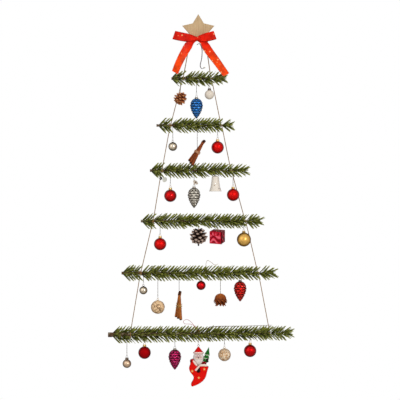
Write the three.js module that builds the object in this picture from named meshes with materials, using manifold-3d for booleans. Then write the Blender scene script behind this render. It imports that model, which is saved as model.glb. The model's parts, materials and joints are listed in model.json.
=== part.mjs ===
// Wall christmas tree: six fir branches tied one under the other to two jute cords, below a wooden
// star with a ribbon bow, and hung with twenty-six ornaments.
// Millimetres, +Z up. The viewer looks along +Y and the wall is behind. The origin is the top of the
// nail, under the cord. Each tier is a group on the axis of the branch above it, and each ornament is
// a group at the top of its thread, so that groups turn where the real pieces turn.

import * as THREE from 'three';
import { mergeVertices } from 'three/addons/utils/BufferGeometryUtils.js';
import Module from 'manifold-3d';

const wasm = await Module();
wasm.setup();

// Clearances and overlaps
const seatGap = 0.3;
const threadGap = 0.4;
const clearGap = 0.6;
const sink = 0.4;

// The ladder of branches, from the nail down, and out from the nail to each side
const firstDrop = 154;
const tierDrops = [129, 124, 139, 143, 167];
const cordLefts = [41, 75, 99, 123, 157, 186];
const cordRights = [34, 62, 89, 128, 163, 196];
const twigLefts = [74, 115, 133, 158, 211, 248];
const bushRights = [76, 95, 137, 178, 214, 259];
const bareLengths = [3, 8, 5, 5, 5, 14];
const buttRadii = [4, 4, 4.2, 4.3, 4.8, 7.2];
const tipRadius = 1.6;
const lastTwigRise = 5;

// Needles
const needleLength = 29;
const needleBase = 2.2;
const needlePitch = 9.6;
const needleLeanDegrees = 45;
const needleSplayDegrees = 16;
const sideNeedleDegrees = 74;
const sideNeedleEvery = 3;
const backReachShare = 0.6;
const endNeedleShare = 0.75;
const twigSides = 6;

// Jute cord and thread
const cordRadius = 1.3;
const cordSides = 8;
const tautSides = 6;
const turnSides = 4;
const turnSteps = 8;
const turnPitch = 3.2;
const threadRadius = 0.6;
const threadSides = 4;
const foldDegrees = 45;
const foldSteps = 6;
const swingClearDegrees = 8;
const nestedSwingDegrees = 3;

// Star and bow
const starRadius = 46;
const starInnerShare = 0.565;
const starThickness = 5;
const starBevel = 0.6;
const starDrop = 24;
const knotWidth = 18;
const knotHeight = 20;
const knotDepth = 12;
const knotDrop = 43;
const knotLeft = 4;
const ribbonThickness = 1;
const ribbonWidth = 23;
const ribbonGather = 15;
const loopLengths = [63, 50];
const loopDepth = 6;
const loopForward = 5;
const loopRise = 8;
const loopLean = 4;
const tailWidth = 18;

// Middle lines of the two tails of the bow, from the knot down
const leftTailRoute = [[-19, -15.5, -55], [-40, -21, -88], [-54, -24, -116], [-64, -27, -139]];
const rightTailRoute = [[12, -15.5, -55], [27, -20, -78], [52, -24, -112], [75, -28, -144]];

// Routes of the loose cords. The hanging cord's starts above the left end of the first branch and
// runs over the nail, and the string's starts below the bow's knot.
const hangingLeftRoute = [[-31, 0, -96], [-21.7, 0, -43], [-15.5, 0, -17], [-8, 0, -2.5]];
const hangingRightRoute = [[8, 0, -2.5], [14, 0, -17], [18.5, 0, -43], [26.5, 0, -96]];
const stringRoute = [
  [2, -9.8, -59], [9, -10, -72], [9, -10, -98], [5, -9, -122], [10, -9, -128], [16.5, -9, -125],
];

// Loose ends of thread that stand above two of the branches, from and to the twig's axis
const goldCurlX = 20;
const goldCurlRoute = [[21, -2, 15], [21.2, -4, 26], [25, -5, 35], [34, -5, 31], [45, -5, 23], [54, -5, 25]];
const figureLoopXs = [-4, 1];
const figureLoopRoute = [
  [-7, -2, 15.5], [-21, -4, 34], [-32, -4, 40], [-41, -4, 35], [-38, -4, 28.5], [-20, -4, 26.5], [-1, -2, 14],
];

// Ornament sizes
const redBallRadius = 17.3;
const goldBallRadius = 19.4;
const creamBallRadius = 13;
const champagneBallRadius = 12;
const upperSilverRadius = 12;
const lowerSilverRadius = 11;
const curlBallRadius = 18.5;
const glitterBallRadius = 17.5;
const smallRedRadius = 12.8;
const neckRadius = 3.2;
const neckHeight = 3;
const capRadius = 4.6;
const capHeight = 4.5;
const capWall = 0.9;
const eyeRadius = 2.6;
const eyeWire = 0.6;
const coneRadius = 16.5;
const coneLength = 56;
const brownConeRadius = 19;
const brownConeLength = 37;
const frostedConeRadius = 24.5;
const frostedConeLength = 46;
const scaleThickness = 3;
const coneShoulder = 0.68;
const coneFullness = 0.78;
const coneColumnCount = 16;
const coneRowCount = 9;
const quillRadius = 4.5;
const quillWall = 0.9;
const quillGap = 0.3;
const quillLength = 74;
const quillFanDegrees = 6.5;
const quillCrossRise = 26;
const quillSlide = 3;
const quillStepCount = 12;
const tieRadius = 1.1;
const bellTopRadius = 9.5;
const bellMouthRadius = 17.2;
const bellHeight = 42;
const bellWall = 1.8;
const clapperRadius = 3.6;
const clapperDrop = 22;
const giftSize = 34;
const giftTurnDegrees = 20;
const giftTipDegrees = 11;
const podRadius = 16;
const podHeight = 30;
const crownRadius = 6;
const crownHeight = 5;
const podColumnCount = 16;
const podRowCount = 8;

// The figure. Its drops run from the tip of the hat.
const stockingWidth = 54.5;
const hatHeight = 17;
const hatRadius = stockingWidth * 0.226;
const brimRadius = 2.6;
const headHalfWidth = stockingWidth * 0.264;
const headHalfHeight = 14;
const headHalfDepth = 10;
const headDrop = 30;
const beardDrop = 56;
const stockingTop = 35;
const stockingHeight = 76;
const stockingDepth = 18;
const stockingRound = 4;
const stockingRoundShare = 0.037;
const trimRadius = 3.2;
const mittenRadius = 5.5;
const heldTreeHeight = 40;
const heldTreeRadius = stockingWidth * 0.147;
const heldTreeOut = stockingWidth * 0.532;
const heldTreeDrop = 2;
const heldTreeLeanDegrees = 14;

// Corners of the stocking as shares of its width, out from the thread, and of its height, down from
// its highest corner. The first and last lie where the beard's point dips into it.
const stockingShares = [
  [-0.06, 0.25], [-0.32, 0], [-0.37, 0.18], [-0.47, 0.31], [-0.42, 0.46], [-0.27, 0.6], [-0.24, 0.69],
  [-0.3, 0.79], [-0.375, 0.9], [-0.33, 0.985], [-0.23, 0.97], [0.05, 0.88], [0.26, 0.76], [0.38, 0.62],
  [0.44, 0.45], [0.52, 0.27], [0.12, 0.23],
];

// Where each ornament hangs along its branch, as a share of the way from the left to the right cord
const alongShares = {
  brown_pine_cone: -0.105,
  blue_glitter_cone: 0.481,
  cream_ball: 0.952,
  silver_ball_upper: 0.036,
  cinnamon_upper: 0.527,
  red_ball_1: 0.935,
  red_ball_2: 0.118,
  silver_cone: 0.465,
  white_bell: 0.776,
  red_ball_3: 1.034,
  red_ball_4: 0.072,
  frosted_pine_cone: 0.492,
  red_gift: 0.698,
  gold_ball: 0.987,
  silver_ball_lower: 0.02,
  gold_curl_ball: 0.143,
  cinnamon_lower: 0.326,
  small_red_ball: 0.514,
  seed_pod: 0.681,
  red_glitter_cone: 0.85,
  champagne_ball: -0.027,
  red_ball_5: 0.1,
  magenta_glitter_cone: 0.318,
  stocking_figure: 0.488,
  gold_glitter_ball: 0.6755,
  red_ball_6: 0.86,
};

// From the axis of its branch down to the top of each ornament's body, or to a bundle's tie
const bodyDrops = {
  brown_pine_cone: 38,
  blue_glitter_cone: 54,
  cream_ball: 33,
  silver_ball_upper: 46,
  cinnamon_upper: 74,
  red_ball_1: 43,
  red_ball_2: 52,
  silver_cone: 47,
  white_bell: 15,
  red_ball_3: 50,
  red_ball_4: 46,
  frosted_pine_cone: 19,
  red_gift: 22,
  gold_ball: 32,
  silver_ball_lower: 36,
  gold_curl_ball: 75,
  cinnamon_lower: 88,
  small_red_ball: 21,
  seed_pod: 56,
  red_glitter_cone: 22,
  champagne_ball: 68,
  red_ball_5: 33,
  magenta_glitter_cone: 42,
  stocking_figure: 34,
  gold_glitter_ball: 41,
  red_ball_6: 31,
};

// How far forward an ornament that rests on a cord leans from its branch, in degrees
const leanDegrees = {
  brown_pine_cone: 16,
  cream_ball: 15,
  red_ball_3: 12,
  gold_ball: 21,
  silver_ball_lower: 8,
};

const jute = material(0xa88e62, 0.95);
const thread = material(0xc9b88e, 0.8);
const brass = material(0xc79a4a, 0.35, 0.9);
const silver = material(0xc9c9c9, 0.25, 1);
const fir = material(0x3c5229, 0.85);
const wood = material(0xc9a878, 0.8);
const ribbonRed = material(0xe23a1e, 0.5);
const glossRed = material(0xc0141c, 0.2);
const gold = material(0xc9a04e, 0.3, 0.6);
const pale = material(0xe6dfd0, 0.6);
const bark = material(0x8c4a22, 0.85);
const coneBrown = material(0x6b4128, 0.9);
const blueGlitter = material(0x1f5fc4, 0.3, 0.4);
const magentaGlitter = material(0x8e1450, 0.3, 0.4);
const redGlitter = material(0xb01030, 0.3, 0.4);
const figureRed = material(0xc8201c, 0.5);

function material(color, roughness, metalness = 0) {
  return new THREE.MeshStandardMaterial({ color, roughness, metalness });
}

function radians(degrees) {
  return THREE.MathUtils.degToRad(degrees);
}

// Joining and cutting

function solid(geometry) {
  const bare = geometry.clone();
  bare.deleteAttribute('normal');
  bare.deleteAttribute('uv');
  const merged = mergeVertices(bare);
  return new wasm.Manifold(new wasm.Mesh({
    numProp: 3,
    vertProperties: new Float32Array(merged.attributes.position.array),
    triVerts: new Uint32Array(merged.index.array),
  }));
}

function fused(...geometries) {
  return fromSolid(wasm.Manifold.union(geometries.map(solid)));
}

function fromSolid(shape) {
  const mesh = shape.getMesh();
  const geometry = new THREE.BufferGeometry();
  geometry.setAttribute('position', new THREE.BufferAttribute(new Float32Array(mesh.vertProperties), 3));
  geometry.setIndex(new THREE.BufferAttribute(new Uint32Array(mesh.triVerts), 1));
  const flat = geometry.toNonIndexed();
  flat.computeVertexNormals();
  return flat;
}

function named(name, geometry, look) {
  const mesh = new THREE.Mesh(geometry, look);
  mesh.name = name;
  return mesh;
}

// Shapes

function fromFaces(points, faces) {
  const geometry = new THREE.BufferGeometry();
  geometry.setAttribute('position', new THREE.Float32BufferAttribute(points.flatMap((p) => p.toArray()), 3));
  geometry.setIndex(faces.flat());
  const flat = geometry.toNonIndexed();
  flat.computeVertexNormals();
  return flat;
}

// A profile of [radius, height] pairs, from the bottom up, turned round the Z axis
function revolved(profile, segments) {
  const points = profile.map(([radius, height]) => new THREE.Vector2(radius, height));
  return new THREE.LatheGeometry(points, segments).rotateX(Math.PI / 2);
}

function rod(from, to, radius, sides) {
  const path = new THREE.LineCurve3(from, to);
  return tube(path, radius, sides, 1);
}

function tube(path, radius, sides, steps) {
  const section = new THREE.Shape();
  for (let side = 0; side < sides; side += 1) {
    const angle = (2 * Math.PI * side) / sides;
    const corner = [radius * Math.cos(angle), radius * Math.sin(angle)];
    if (side === 0) section.moveTo(...corner);
    else section.lineTo(...corner);
  }
  section.closePath();
  return new THREE.ExtrudeGeometry(section, { extrudePath: path, steps });
}

// A closed tube round a flat path, given as points around the Z axis
function closedTube(points, radius, sides) {
  const corners = [];
  const faces = [];
  points.forEach((point, index) => {
    const before = points[(index + points.length - 1) % points.length];
    const after = points[(index + 1) % points.length];
    const along = after.clone().sub(before).normalize();
    const out = new THREE.Vector3(along.y, -along.x, 0);
    for (let side = 0; side < sides; side += 1) {
      const angle = (2 * Math.PI * side) / sides;
      const corner = point.clone().addScaledVector(out, radius * Math.cos(angle));
      corner.z += radius * Math.sin(angle);
      corners.push(corner);
      const next = ((index + 1) % points.length) * sides;
      const here = index * sides;
      const beside = (side + 1) % sides;
      faces.push([here + side, next + side, next + beside], [here + side, next + beside, here + beside]);
    }
  });
  return fromFaces(corners, faces);
}

// A flat strip with a thickness, along a path, with its own width direction and half width
function strip(steps, at, widthAt, thickness) {
  const corners = [];
  const faces = [];
  for (let step = 0; step <= steps; step += 1) {
    const share = step / steps;
    const centre = at(share);
    const probe = 1 / (4 * steps);
    const along = at(Math.min(1, share + probe)).sub(at(Math.max(0, share - probe))).normalize();
    const across = widthAt(share);
    const face = along.clone().cross(across).normalize().multiplyScalar(thickness / 2);
    corners.push(centre.clone().add(across).add(face));
    corners.push(centre.clone().sub(across).add(face));
    corners.push(centre.clone().sub(across).sub(face));
    corners.push(centre.clone().add(across).sub(face));
  }
  for (let step = 0; step < steps; step += 1) {
    for (let side = 0; side < 4; side += 1) {
      const here = step * 4;
      const next = here + 4;
      const beside = (side + 1) % 4;
      faces.push([here + side, here + beside, next + beside], [here + side, next + beside, next + side]);
    }
  }
  const last = steps * 4;
  faces.push([0, 2, 1], [0, 3, 2], [last, last + 1, last + 2], [last, last + 2, last + 3]);
  return fromFaces(corners, faces);
}

function ballSolid(radius, segments = 12, rings = 7) {
  return new THREE.SphereGeometry(radius, segments, rings).rotateX(Math.PI / 2);
}

// The ladder

function twigTip(tier) {
  return bushRights[tier] - needleLength * Math.sin(radians(needleLeanDegrees));
}

function twigRadius(tier, x) {
  const share = (x + twigLefts[tier]) / (twigTip(tier) + twigLefts[tier]);
  return THREE.MathUtils.lerp(buttRadii[tier], tipRadius, share);
}

// From the twig's axis to one of its flats
function twigFlat(tier, x) {
  return twigRadius(tier, x) * Math.cos(Math.PI / twigSides);
}

function twigHeight(tier, x) {
  if (tier < tierDrops.length) return 0;
  const share = (x + twigLefts[tier]) / (twigTip(tier) + twigLefts[tier]);
  return lastTwigRise * (share - 1 / 2);
}

// The turns have flats too, so their corners stand out by the cosine
function turnRadius(tier, x) {
  return (twigRadius(tier, x) + seatGap + cordRadius) / Math.cos(Math.PI / turnSteps);
}

// The turn that a cord takes round a twig
function cordTurn(tier, x) {
  const turn = new THREE.TorusGeometry(turnRadius(tier, x), cordRadius, turnSides, turnSteps);
  turn.rotateX(Math.PI / 2);
  turn.rotateZ(Math.PI / 2);
  return turn.translate(x, 0, twigHeight(tier, x));
}

function cordPlace(tier, side) {
  return side < 0 ? -cordLefts[tier] : cordRights[tier];
}

function sideCordEnds(tier, side) {
  const topX = cordPlace(tier - 1, side) + side * turnPitch;
  const lowX = cordPlace(tier, side);
  const top = new THREE.Vector3(topX, 0, -turnRadius(tier - 1, topX));
  const lowTurn = twigHeight(tier, lowX) + turnRadius(tier, lowX);
  const low = new THREE.Vector3(lowX, 0, lowTurn - tierDrops[tier - 1]);
  return [top, low, topX, lowX];
}

function sideCord(tier, side) {
  const [top, low, topX, lowX] = sideCordEnds(tier, side);
  const lowTurn = cordTurn(tier, lowX).translate(0, 0, -tierDrops[tier - 1]);
  return fused(rod(top, low, cordRadius, tautSides), cordTurn(tier - 1, topX), lowTurn);
}

function places(route) {
  return route.map((point) => new THREE.Vector3(...point));
}

// The cord over the nail, down behind the star and out to both ends of the first branch
function hangingCordPath() {
  const low = turnRadius(0, 0) - firstDrop;
  return new THREE.CatmullRomCurve3([
    new THREE.Vector3(-cordLefts[0], 0, low),
    ...places(hangingLeftRoute),
    new THREE.Vector3(0, 0, cordRadius),
    ...places(hangingRightRoute),
    new THREE.Vector3(cordRights[0], 0, low),
  ], false, 'centripetal');
}

function hangingCord() {
  const turns = [-1, 1].map((side) => cordTurn(0, cordPlace(0, side)).translate(0, 0, -firstDrop));
  return fused(tube(hangingCordPath(), cordRadius, cordSides, 18), ...turns);
}

function star() {
  const outline = new THREE.Shape();
  for (let corner = 0; corner < 10; corner += 1) {
    const radius = corner % 2 === 0 ? starRadius : starRadius * starInnerShare;
    const angle = Math.PI / 2 + (corner * Math.PI) / 5;
    const point = [(radius - starBevel) * Math.cos(angle), (radius - starBevel) * Math.sin(angle)];
    if (corner === 0) outline.moveTo(...point);
    else outline.lineTo(...point);
  }
  outline.closePath();
  const plate = new THREE.ExtrudeGeometry(outline, {
    depth: starThickness - 2 * starBevel,
    bevelThickness: starBevel,
    bevelSize: starBevel,
    bevelSegments: 1,
  });
  plate.translate(0, 0, cordRadius + seatGap + starBevel);
  return plate.rotateX(Math.PI / 2).translate(0, 0, -starDrop);
}

function starFront() {
  return -cordRadius - seatGap - starThickness;
}

// The bow is one ribbon: two loops and two tails gathered in the knot
function bow() {
  const knot = new THREE.Vector3(-knotLeft, starFront() - seatGap - knotDepth / 2, -knotDrop);
  const knotBody = new THREE.SphereGeometry(1, 10, 6);
  knotBody.scale(knotWidth / 2, knotDepth / 2, knotHeight / 2);
  knotBody.translate(...knot.toArray());
  const loops = [-1, 1].map((side) => bowLoop(knot, side, loopLengths[side < 0 ? 0 : 1]));
  const tails = [leftTailRoute, rightTailRoute].map((route) => bowTail(knot, places(route)));
  return fused(knotBody, ...loops, ...tails);
}

function bowLoop(knot, side, length) {
  const swell = (share) => (1 - Math.cos(2 * Math.PI * share)) / 2;
  const at = (share) => {
    const out = swell(share);
    const depth = loopDepth * Math.sin(2 * Math.PI * share) + ribbonThickness * (1 - 2 * share);
    const fold = (ribbonThickness / 2) * Math.sin(6 * Math.PI * share);
    return new THREE.Vector3(
      knot.x + side * length * out,
      knot.y + depth - loopForward * out + fold,
      knot.z + loopRise * out * out,
    );
  };
  const widthAt = (share) => {
    const half = THREE.MathUtils.lerp(ribbonGather, ribbonWidth, swell(share)) / 2;
    return new THREE.Vector3(-side * loopLean * swell(share), 0, half);
  };
  return strip(14, at, widthAt, ribbonThickness);
}

function bowTail(knot, route) {
  const path = new THREE.CatmullRomCurve3([knot.clone(), ...route]);
  const side = Math.sign(route[route.length - 1].x - knot.x);
  const widthAt = (share) => {
    const along = path.getTangent(share);
    const across = along.clone().cross(new THREE.Vector3(0, side, 0)).normalize();
    const gather = share < 1 / 8 ? 1 / 2 + 8 * share : 1.5 - (share - 1 / 8) / 2;
    const cut = share > 1 - 1 / 10 ? 1 / 3 : 0;
    return across.multiplyScalar((gather * tailWidth) / 2).addScaledVector(along, cut * (tailWidth / 2));
  };
  return strip(9, (share) => path.getPoint(share), widthAt, ribbonThickness);
}

// The thin string below the bow, with its pale knotted end
function centreStringPath() {
  const behind = starFront() - seatGap - knotDepth / 4;
  const underKnot = knotDrop + (knotHeight / 2) * Math.sqrt(3 / 4) + threadGap + threadRadius;
  return new THREE.CatmullRomCurve3([new THREE.Vector3(-knotLeft, behind, -underKnot), ...places(stringRoute)]);
}

function centreString() {
  const path = centreStringPath();
  const knot = ballSolid(2 * threadRadius, 8, 6).translate(...path.getPoint(1).toArray());
  return fused(tube(path, threadRadius, tautSides, 14), knot);
}

// Needled twigs

// A swept shape that needles keep clear of
function capsule(from, to, radius) {
  return { line: new THREE.Line3(from, to), radius };
}

function turned(shape, matrix) {
  const line = shape.line.clone().applyMatrix4(matrix);
  return { line, radius: shape.radius };
}

function meets(shapes, from, to) {
  const nearest = new THREE.Vector3();
  return shapes.some(({ line, radius }) => [0, 0.2, 0.4, 0.6, 0.8, 1].some((share) => {
    const point = from.clone().lerp(to, share);
    line.closestPointToPoint(point, true, nearest);
    const needleHalf = needleBase * (1 - share);
    return nearest.distanceTo(point) < radius + needleHalf + clearGap;
  }));
}

function turnShapes(tier, x) {
  const radius = turnRadius(tier, x);
  const shapes = [];
  for (let step = 0; step < 12; step += 1) {
    const ends = [step, step + 1].map((count) => {
      const angle = (2 * Math.PI * count) / 12;
      const height = twigHeight(tier, x) + radius * Math.cos(angle);
      return new THREE.Vector3(x, radius * Math.sin(angle), height);
    });
    shapes.push(capsule(ends[0], ends[1], cordRadius));
  }
  return shapes;
}

function foldedBack(shapes, axisHeight) {
  const swept = [];
  for (let step = 0; step <= foldSteps; step += 1) {
    const matrix = new THREE.Matrix4().makeTranslation(0, 0, axisHeight);
    matrix.multiply(new THREE.Matrix4().makeRotationX(-radians((foldDegrees * step) / foldSteps)));
    matrix.multiply(new THREE.Matrix4().makeTranslation(0, 0, -axisHeight));
    shapes.forEach((shape) => swept.push(turned(shape, matrix)));
  }
  return swept;
}

// Everything that passes through the needles of a tier, in the frame of its twig
function keptClear(tier, ornaments) {
  const shapes = [];
  const above = tier === 0 ? firstDrop : tierDrops[tier - 1];
  const lift = new THREE.Matrix4().makeTranslation(0, 0, above);
  [-1, 1].forEach((side) => {
    shapes.push(...turnShapes(tier, cordPlace(tier, side)));
    if (tier > 0) {
      const [top, low] = sideCordEnds(tier, side);
      shapes.push(turned(capsule(top, low, cordRadius), lift));
    }
    if (tier < tierDrops.length) {
      const [top, low, topX] = sideCordEnds(tier + 1, side);
      shapes.push(...turnShapes(tier, topX));
      for (let step = 0; step <= foldSteps; step += 1) {
        const angle = radians((foldDegrees * step) / foldSteps);
        const turn = new THREE.Matrix4().makeRotationX(angle);
        shapes.push(turned(capsule(top, low, cordRadius), turn));
      }
    }
  });
  ornaments.filter((item) => item.tier === tier).forEach((item) => {
    shapes.push(...item.sweptShapes());
  });
  ornaments.filter((item) => item.tier === tier - 1).forEach((item) => {
    shapes.push(...foldedBack(item.sweptShapes().map((shape) => turned(shape, lift)), above));
  });
  if (tier === 0) shapes.push(...shapesByBow().map((shape) => turned(shape, lift)));
  if (tier === 4) shapes.push(...pathShapes(goldCurlPath(), threadRadius));
  if (tier === 5) shapes.push(...pathShapes(figureLoopPath(), threadRadius));
  return shapes;
}

// The hanging cord, the string and the ends of the bow's tails, in the frame of the nail
function shapesByBow() {
  const shapes = [
    ...pathShapes(hangingCordPath(), cordRadius),
    ...pathShapes(centreStringPath(), 2 * threadRadius),
  ];
  [leftTailRoute, rightTailRoute].forEach((route) => {
    const [from, to] = places(route.slice(-2));
    for (let offset = -1; offset <= 1; offset += 1) {
      const shift = new THREE.Vector3((offset * tailWidth) / 2, 0, (offset * tailWidth) / 4);
      shapes.push(capsule(from.clone().add(shift), to.clone().add(shift), tailWidth / 4));
    }
  });
  return shapes;
}

function pathShapes(path, radius) {
  const points = path.getPoints(16);
  return points.slice(1).map((point, index) => capsule(points[index], point, radius));
}

// The twig is a tapered tube of flats. A needle is a flat of one short slice, drawn out to a point.
function needledTwig(tier, ornaments) {
  const clear = keptClear(tier, ornaments);
  const start = -twigLefts[tier];
  const end = twigTip(tier);
  const rings = [ringOf(tier, start)];
  const slices = [null];
  let whorl = 0;
  for (let x = start + bareLengths[tier]; x < end - needlePitch / 2; x += needlePitch) {
    const ring = ringOf(tier, x);
    const next = ringOf(tier, x + needleBase);
    const tips = ring.map((corner, side) => {
      const angle = needleAngle(whorl, side);
      if (angle === null) return null;
      const beside = (side + 1) % twigSides;
      const base = corner.clone().add(ring[beside]).add(next[side]).add(next[beside]).divideScalar(4);
      const tip = needleTip(base, angle);
      return meets(clear, base, tip) ? null : tip;
    });
    if (tips.some((tip) => tip)) {
      rings.push(ring, next);
      slices.push(tips, null);
    }
    whorl += 1;
  }
  rings.push(ringOf(tier, end));
  const endTip = new THREE.Vector3(end + needleLength * endNeedleShare, 0, twigHeight(tier, end));
  return twigFrom(rings, slices, endTip);
}

function ringOf(tier, x) {
  const ring = [];
  for (let side = 0; side < twigSides; side += 1) {
    ring.push(around(tier, x, (side - 1 / 2) * (360 / twigSides), twigRadius(tier, x)));
  }
  return ring;
}

// Joins the rings. slices[i] holds the needle tips between rings i and i + 1, one a flat, or null.
function twigFrom(rings, slices, endTip) {
  const corners = rings.flat();
  const faces = [];
  for (let slice = 0; slice + 1 < rings.length; slice += 1) {
    for (let side = 0; side < twigSides; side += 1) {
      const beside = (side + 1) % twigSides;
      const here = slice * twigSides;
      const next = here + twigSides;
      const quad = [here + side, here + beside, next + beside, next + side];
      const tip = slices[slice]?.[side];
      if (tip) {
        corners.push(tip);
        const point = corners.length - 1;
        quad.forEach((corner, index) => faces.push([corner, quad[(index + 1) % 4], point]));
      } else {
        faces.push([quad[0], quad[1], quad[2]], [quad[0], quad[2], quad[3]]);
      }
    }
  }
  const last = (rings.length - 1) * twigSides;
  corners.push(endTip);
  for (let side = 1; side + 1 < twigSides; side += 1) faces.push([0, side + 1, side]);
  for (let side = 0; side < twigSides; side += 1) {
    faces.push([last + side, last + ((side + 1) % twigSides), corners.length - 1]);
  }
  return fromFaces(corners, faces);
}

// A point round the twig: 0 degrees is up, 90 is the front, 180 is down
function around(tier, x, degrees, radius) {
  const angle = radians(degrees);
  return new THREE.Vector3(x, -radius * Math.sin(angle), twigHeight(tier, x) + radius * Math.cos(angle));
}

// The way that the needle on a flat of a whorl points, or null for a flat left bare there
function needleAngle(whorl, side) {
  const splay = whorl % 2 === 0 ? needleSplayDegrees : -needleSplayDegrees;
  if (side === 0) return splay;
  if (side === twigSides / 2) return 180 + splay;
  const front = side < twigSides / 2;
  const upper = side === 1 || side === twigSides - 1;
  const wanted = whorl % (2 * sideNeedleEvery) < sideNeedleEvery;
  if (whorl % sideNeedleEvery !== 0 || upper !== wanted) return null;
  const fromTop = upper ? sideNeedleDegrees : 180 - sideNeedleDegrees;
  return front ? fromTop : -fromTop;
}

function needleTip(base, degrees) {
  const lean = radians(needleLeanDegrees);
  const angle = radians(degrees);
  const backward = Math.max(0, -Math.sin(angle));
  const reach = needleLength * THREE.MathUtils.lerp(1, backReachShare, backward);
  return base.clone().add(new THREE.Vector3(
    reach * Math.sin(lean),
    -reach * Math.cos(lean) * Math.sin(angle),
    reach * Math.cos(lean) * Math.cos(angle),
  ));
}

function goldCurlPath() {
  const foot = twigFlat(4, goldCurlX) + threadGap + threadRadius;
  return new THREE.CatmullRomCurve3([new THREE.Vector3(goldCurlX, 0, foot), ...places(goldCurlRoute)]);
}

function figureLoopPath() {
  const foot = twigFlat(5, 0) + twigHeight(5, 0) + threadGap + threadRadius;
  const [start, end] = figureLoopXs.map((x) => new THREE.Vector3(x, 0, foot));
  return new THREE.CatmullRomCurve3([start, ...places(figureLoopRoute), end]);
}

function looseThread(path) {
  return tube(path, threadRadius, tautSides, 14);
}

// Ornaments hang from the origin of their group, along -Z

class Ornament {
  constructor(name, tier, swingDegrees = swingClearDegrees) {
    this.name = name;
    this.tier = tier;
    this.swingDegrees = swingDegrees;
    this.group = new THREE.Group();
    const x = THREE.MathUtils.lerp(-cordLefts[tier], cordRights[tier], alongShares[name]);
    const lean = radians(leanDegrees[name] ?? 0);
    const hang = twigRadius(tier, x) * (lean > 0 ? 1 : Math.cos(Math.PI / twigSides)) + threadGap;
    this.group.position.set(x, -hang * Math.sin(lean), twigHeight(tier, x) - hang * Math.cos(lean));
    this.group.rotation.x = -lean;
    this.top = -(bodyDrops[name] / Math.cos(lean) - hang);
    this.shapes = [capsule(new THREE.Vector3(), new THREE.Vector3(0, 0, this.top), threadRadius)];
  }

  add(geometry, look, suffix = '') {
    this.group.add(named(this.name + suffix, geometry, look));
    return this;
  }

  // A round form between two heights below the top of the body
  keep(upper, lower, radius, x = 0) {
    const from = new THREE.Vector3(x, 0, this.top - upper);
    const to = new THREE.Vector3(x, 0, this.top - lower);
    this.shapes.push(capsule(from, to, radius));
    return this;
  }

  sweptShapes() {
    this.group.updateMatrix();
    return [-1, -1 / 2, 0, 1 / 2, 1].flatMap((share) => {
      const swing = new THREE.Matrix4().makeRotationY(radians(this.swingDegrees * share));
      const place = new THREE.Matrix4().makeTranslation(...this.group.position.toArray());
      const lean = new THREE.Matrix4().makeRotationX(this.group.rotation.x);
      const matrix = place.multiply(swing).multiply(lean);
      return this.shapes.map((shape) => turned(shape, matrix));
    });
  }
}

// The wire eye on top of an ornament and the thread from it up to the twig
function eyeAndThread(eyeFoot) {
  const eye = new THREE.TorusGeometry(eyeRadius, eyeWire, 4, 6).rotateX(Math.PI / 2).rotateY(Math.PI / 2);
  const centre = eyeFoot + eyeRadius;
  const knot = new THREE.Vector3(0, 0, centre + eyeRadius);
  const line = rod(new THREE.Vector3(), knot, threadRadius, threadSides);
  return [eye.translate(0, 0, centre), line];
}

function capAndThread(neckTop) {
  const rim = neckTop - neckHeight + seatGap;
  const cup = revolved([
    [0, capHeight - capWall],
    [capRadius - capWall, capHeight - capWall],
    [capRadius - capWall, 0],
    [capRadius, 0],
    [capRadius, capHeight],
    [0, capHeight],
  ], 10);
  return fused(cup.translate(0, 0, rim), ...eyeAndThread(rim + capHeight));
}

// A ball with a neck under its cap. The body's top is where the neck leaves the ball.
function ballBody(radius) {
  const profile = [];
  const neckAngle = Math.acos(neckRadius / radius);
  for (let step = 0; step <= 7; step += 1) {
    const angle = THREE.MathUtils.lerp(-Math.PI / 2, neckAngle, step / 7);
    profile.push([step === 0 ? 0 : radius * Math.cos(angle), radius * Math.sin(angle)]);
  }
  const neckTop = radius * Math.sin(neckAngle) + neckHeight;
  profile.push([neckRadius, neckTop], [0, neckTop]);
  return revolved(profile, 12);
}

function cappedBall(name, tier, radius, look, capLook = brass) {
  const item = new Ornament(name, tier);
  const body = ballBody(radius).translate(0, 0, item.top - radius);
  const neckTop = item.top - radius + radius * Math.sin(Math.acos(neckRadius / radius)) + neckHeight;
  item.add(body, look).add(capAndThread(neckTop), capLook, '_hanger');
  return item.keep(radius, radius, radius).keep(-capHeight - 2 * eyeRadius, 0, capRadius);
}

// A small ball or bell whose eye sits straight on it
function plainBall(name, tier, radius, look) {
  const item = new Ornament(name, tier);
  const ball = ballSolid(radius).translate(0, 0, item.top - radius);
  item.add(fused(ball, ...eyeAndThread(item.top - sink)), look);
  return item.keep(radius, radius, radius).keep(-2 * eyeRadius, 0, eyeRadius);
}

// A drop-shaped cone with rows of raised scales, tip down
function scaledCone(radius, length) {
  const points = [new THREE.Vector3(0, 0, 0)];
  for (let row = 1; row < coneRowCount; row += 1) {
    const share = row / coneRowCount;
    const swell = Math.sin(Math.PI * share ** coneShoulder) ** coneFullness;
    for (let column = 0; column < coneColumnCount; column += 1) {
      const relief = (row + column) % 2 === 0 ? 1 : 0.87;
      const angle = (2 * Math.PI * column) / coneColumnCount;
      const reach = radius * swell * relief;
      points.push(new THREE.Vector3(reach * Math.cos(angle), reach * Math.sin(angle), -length * share));
    }
  }
  points.push(new THREE.Vector3(0, 0, -length));
  return fromFaces(points, gridFaces(coneColumnCount, coneRowCount));
}

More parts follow.
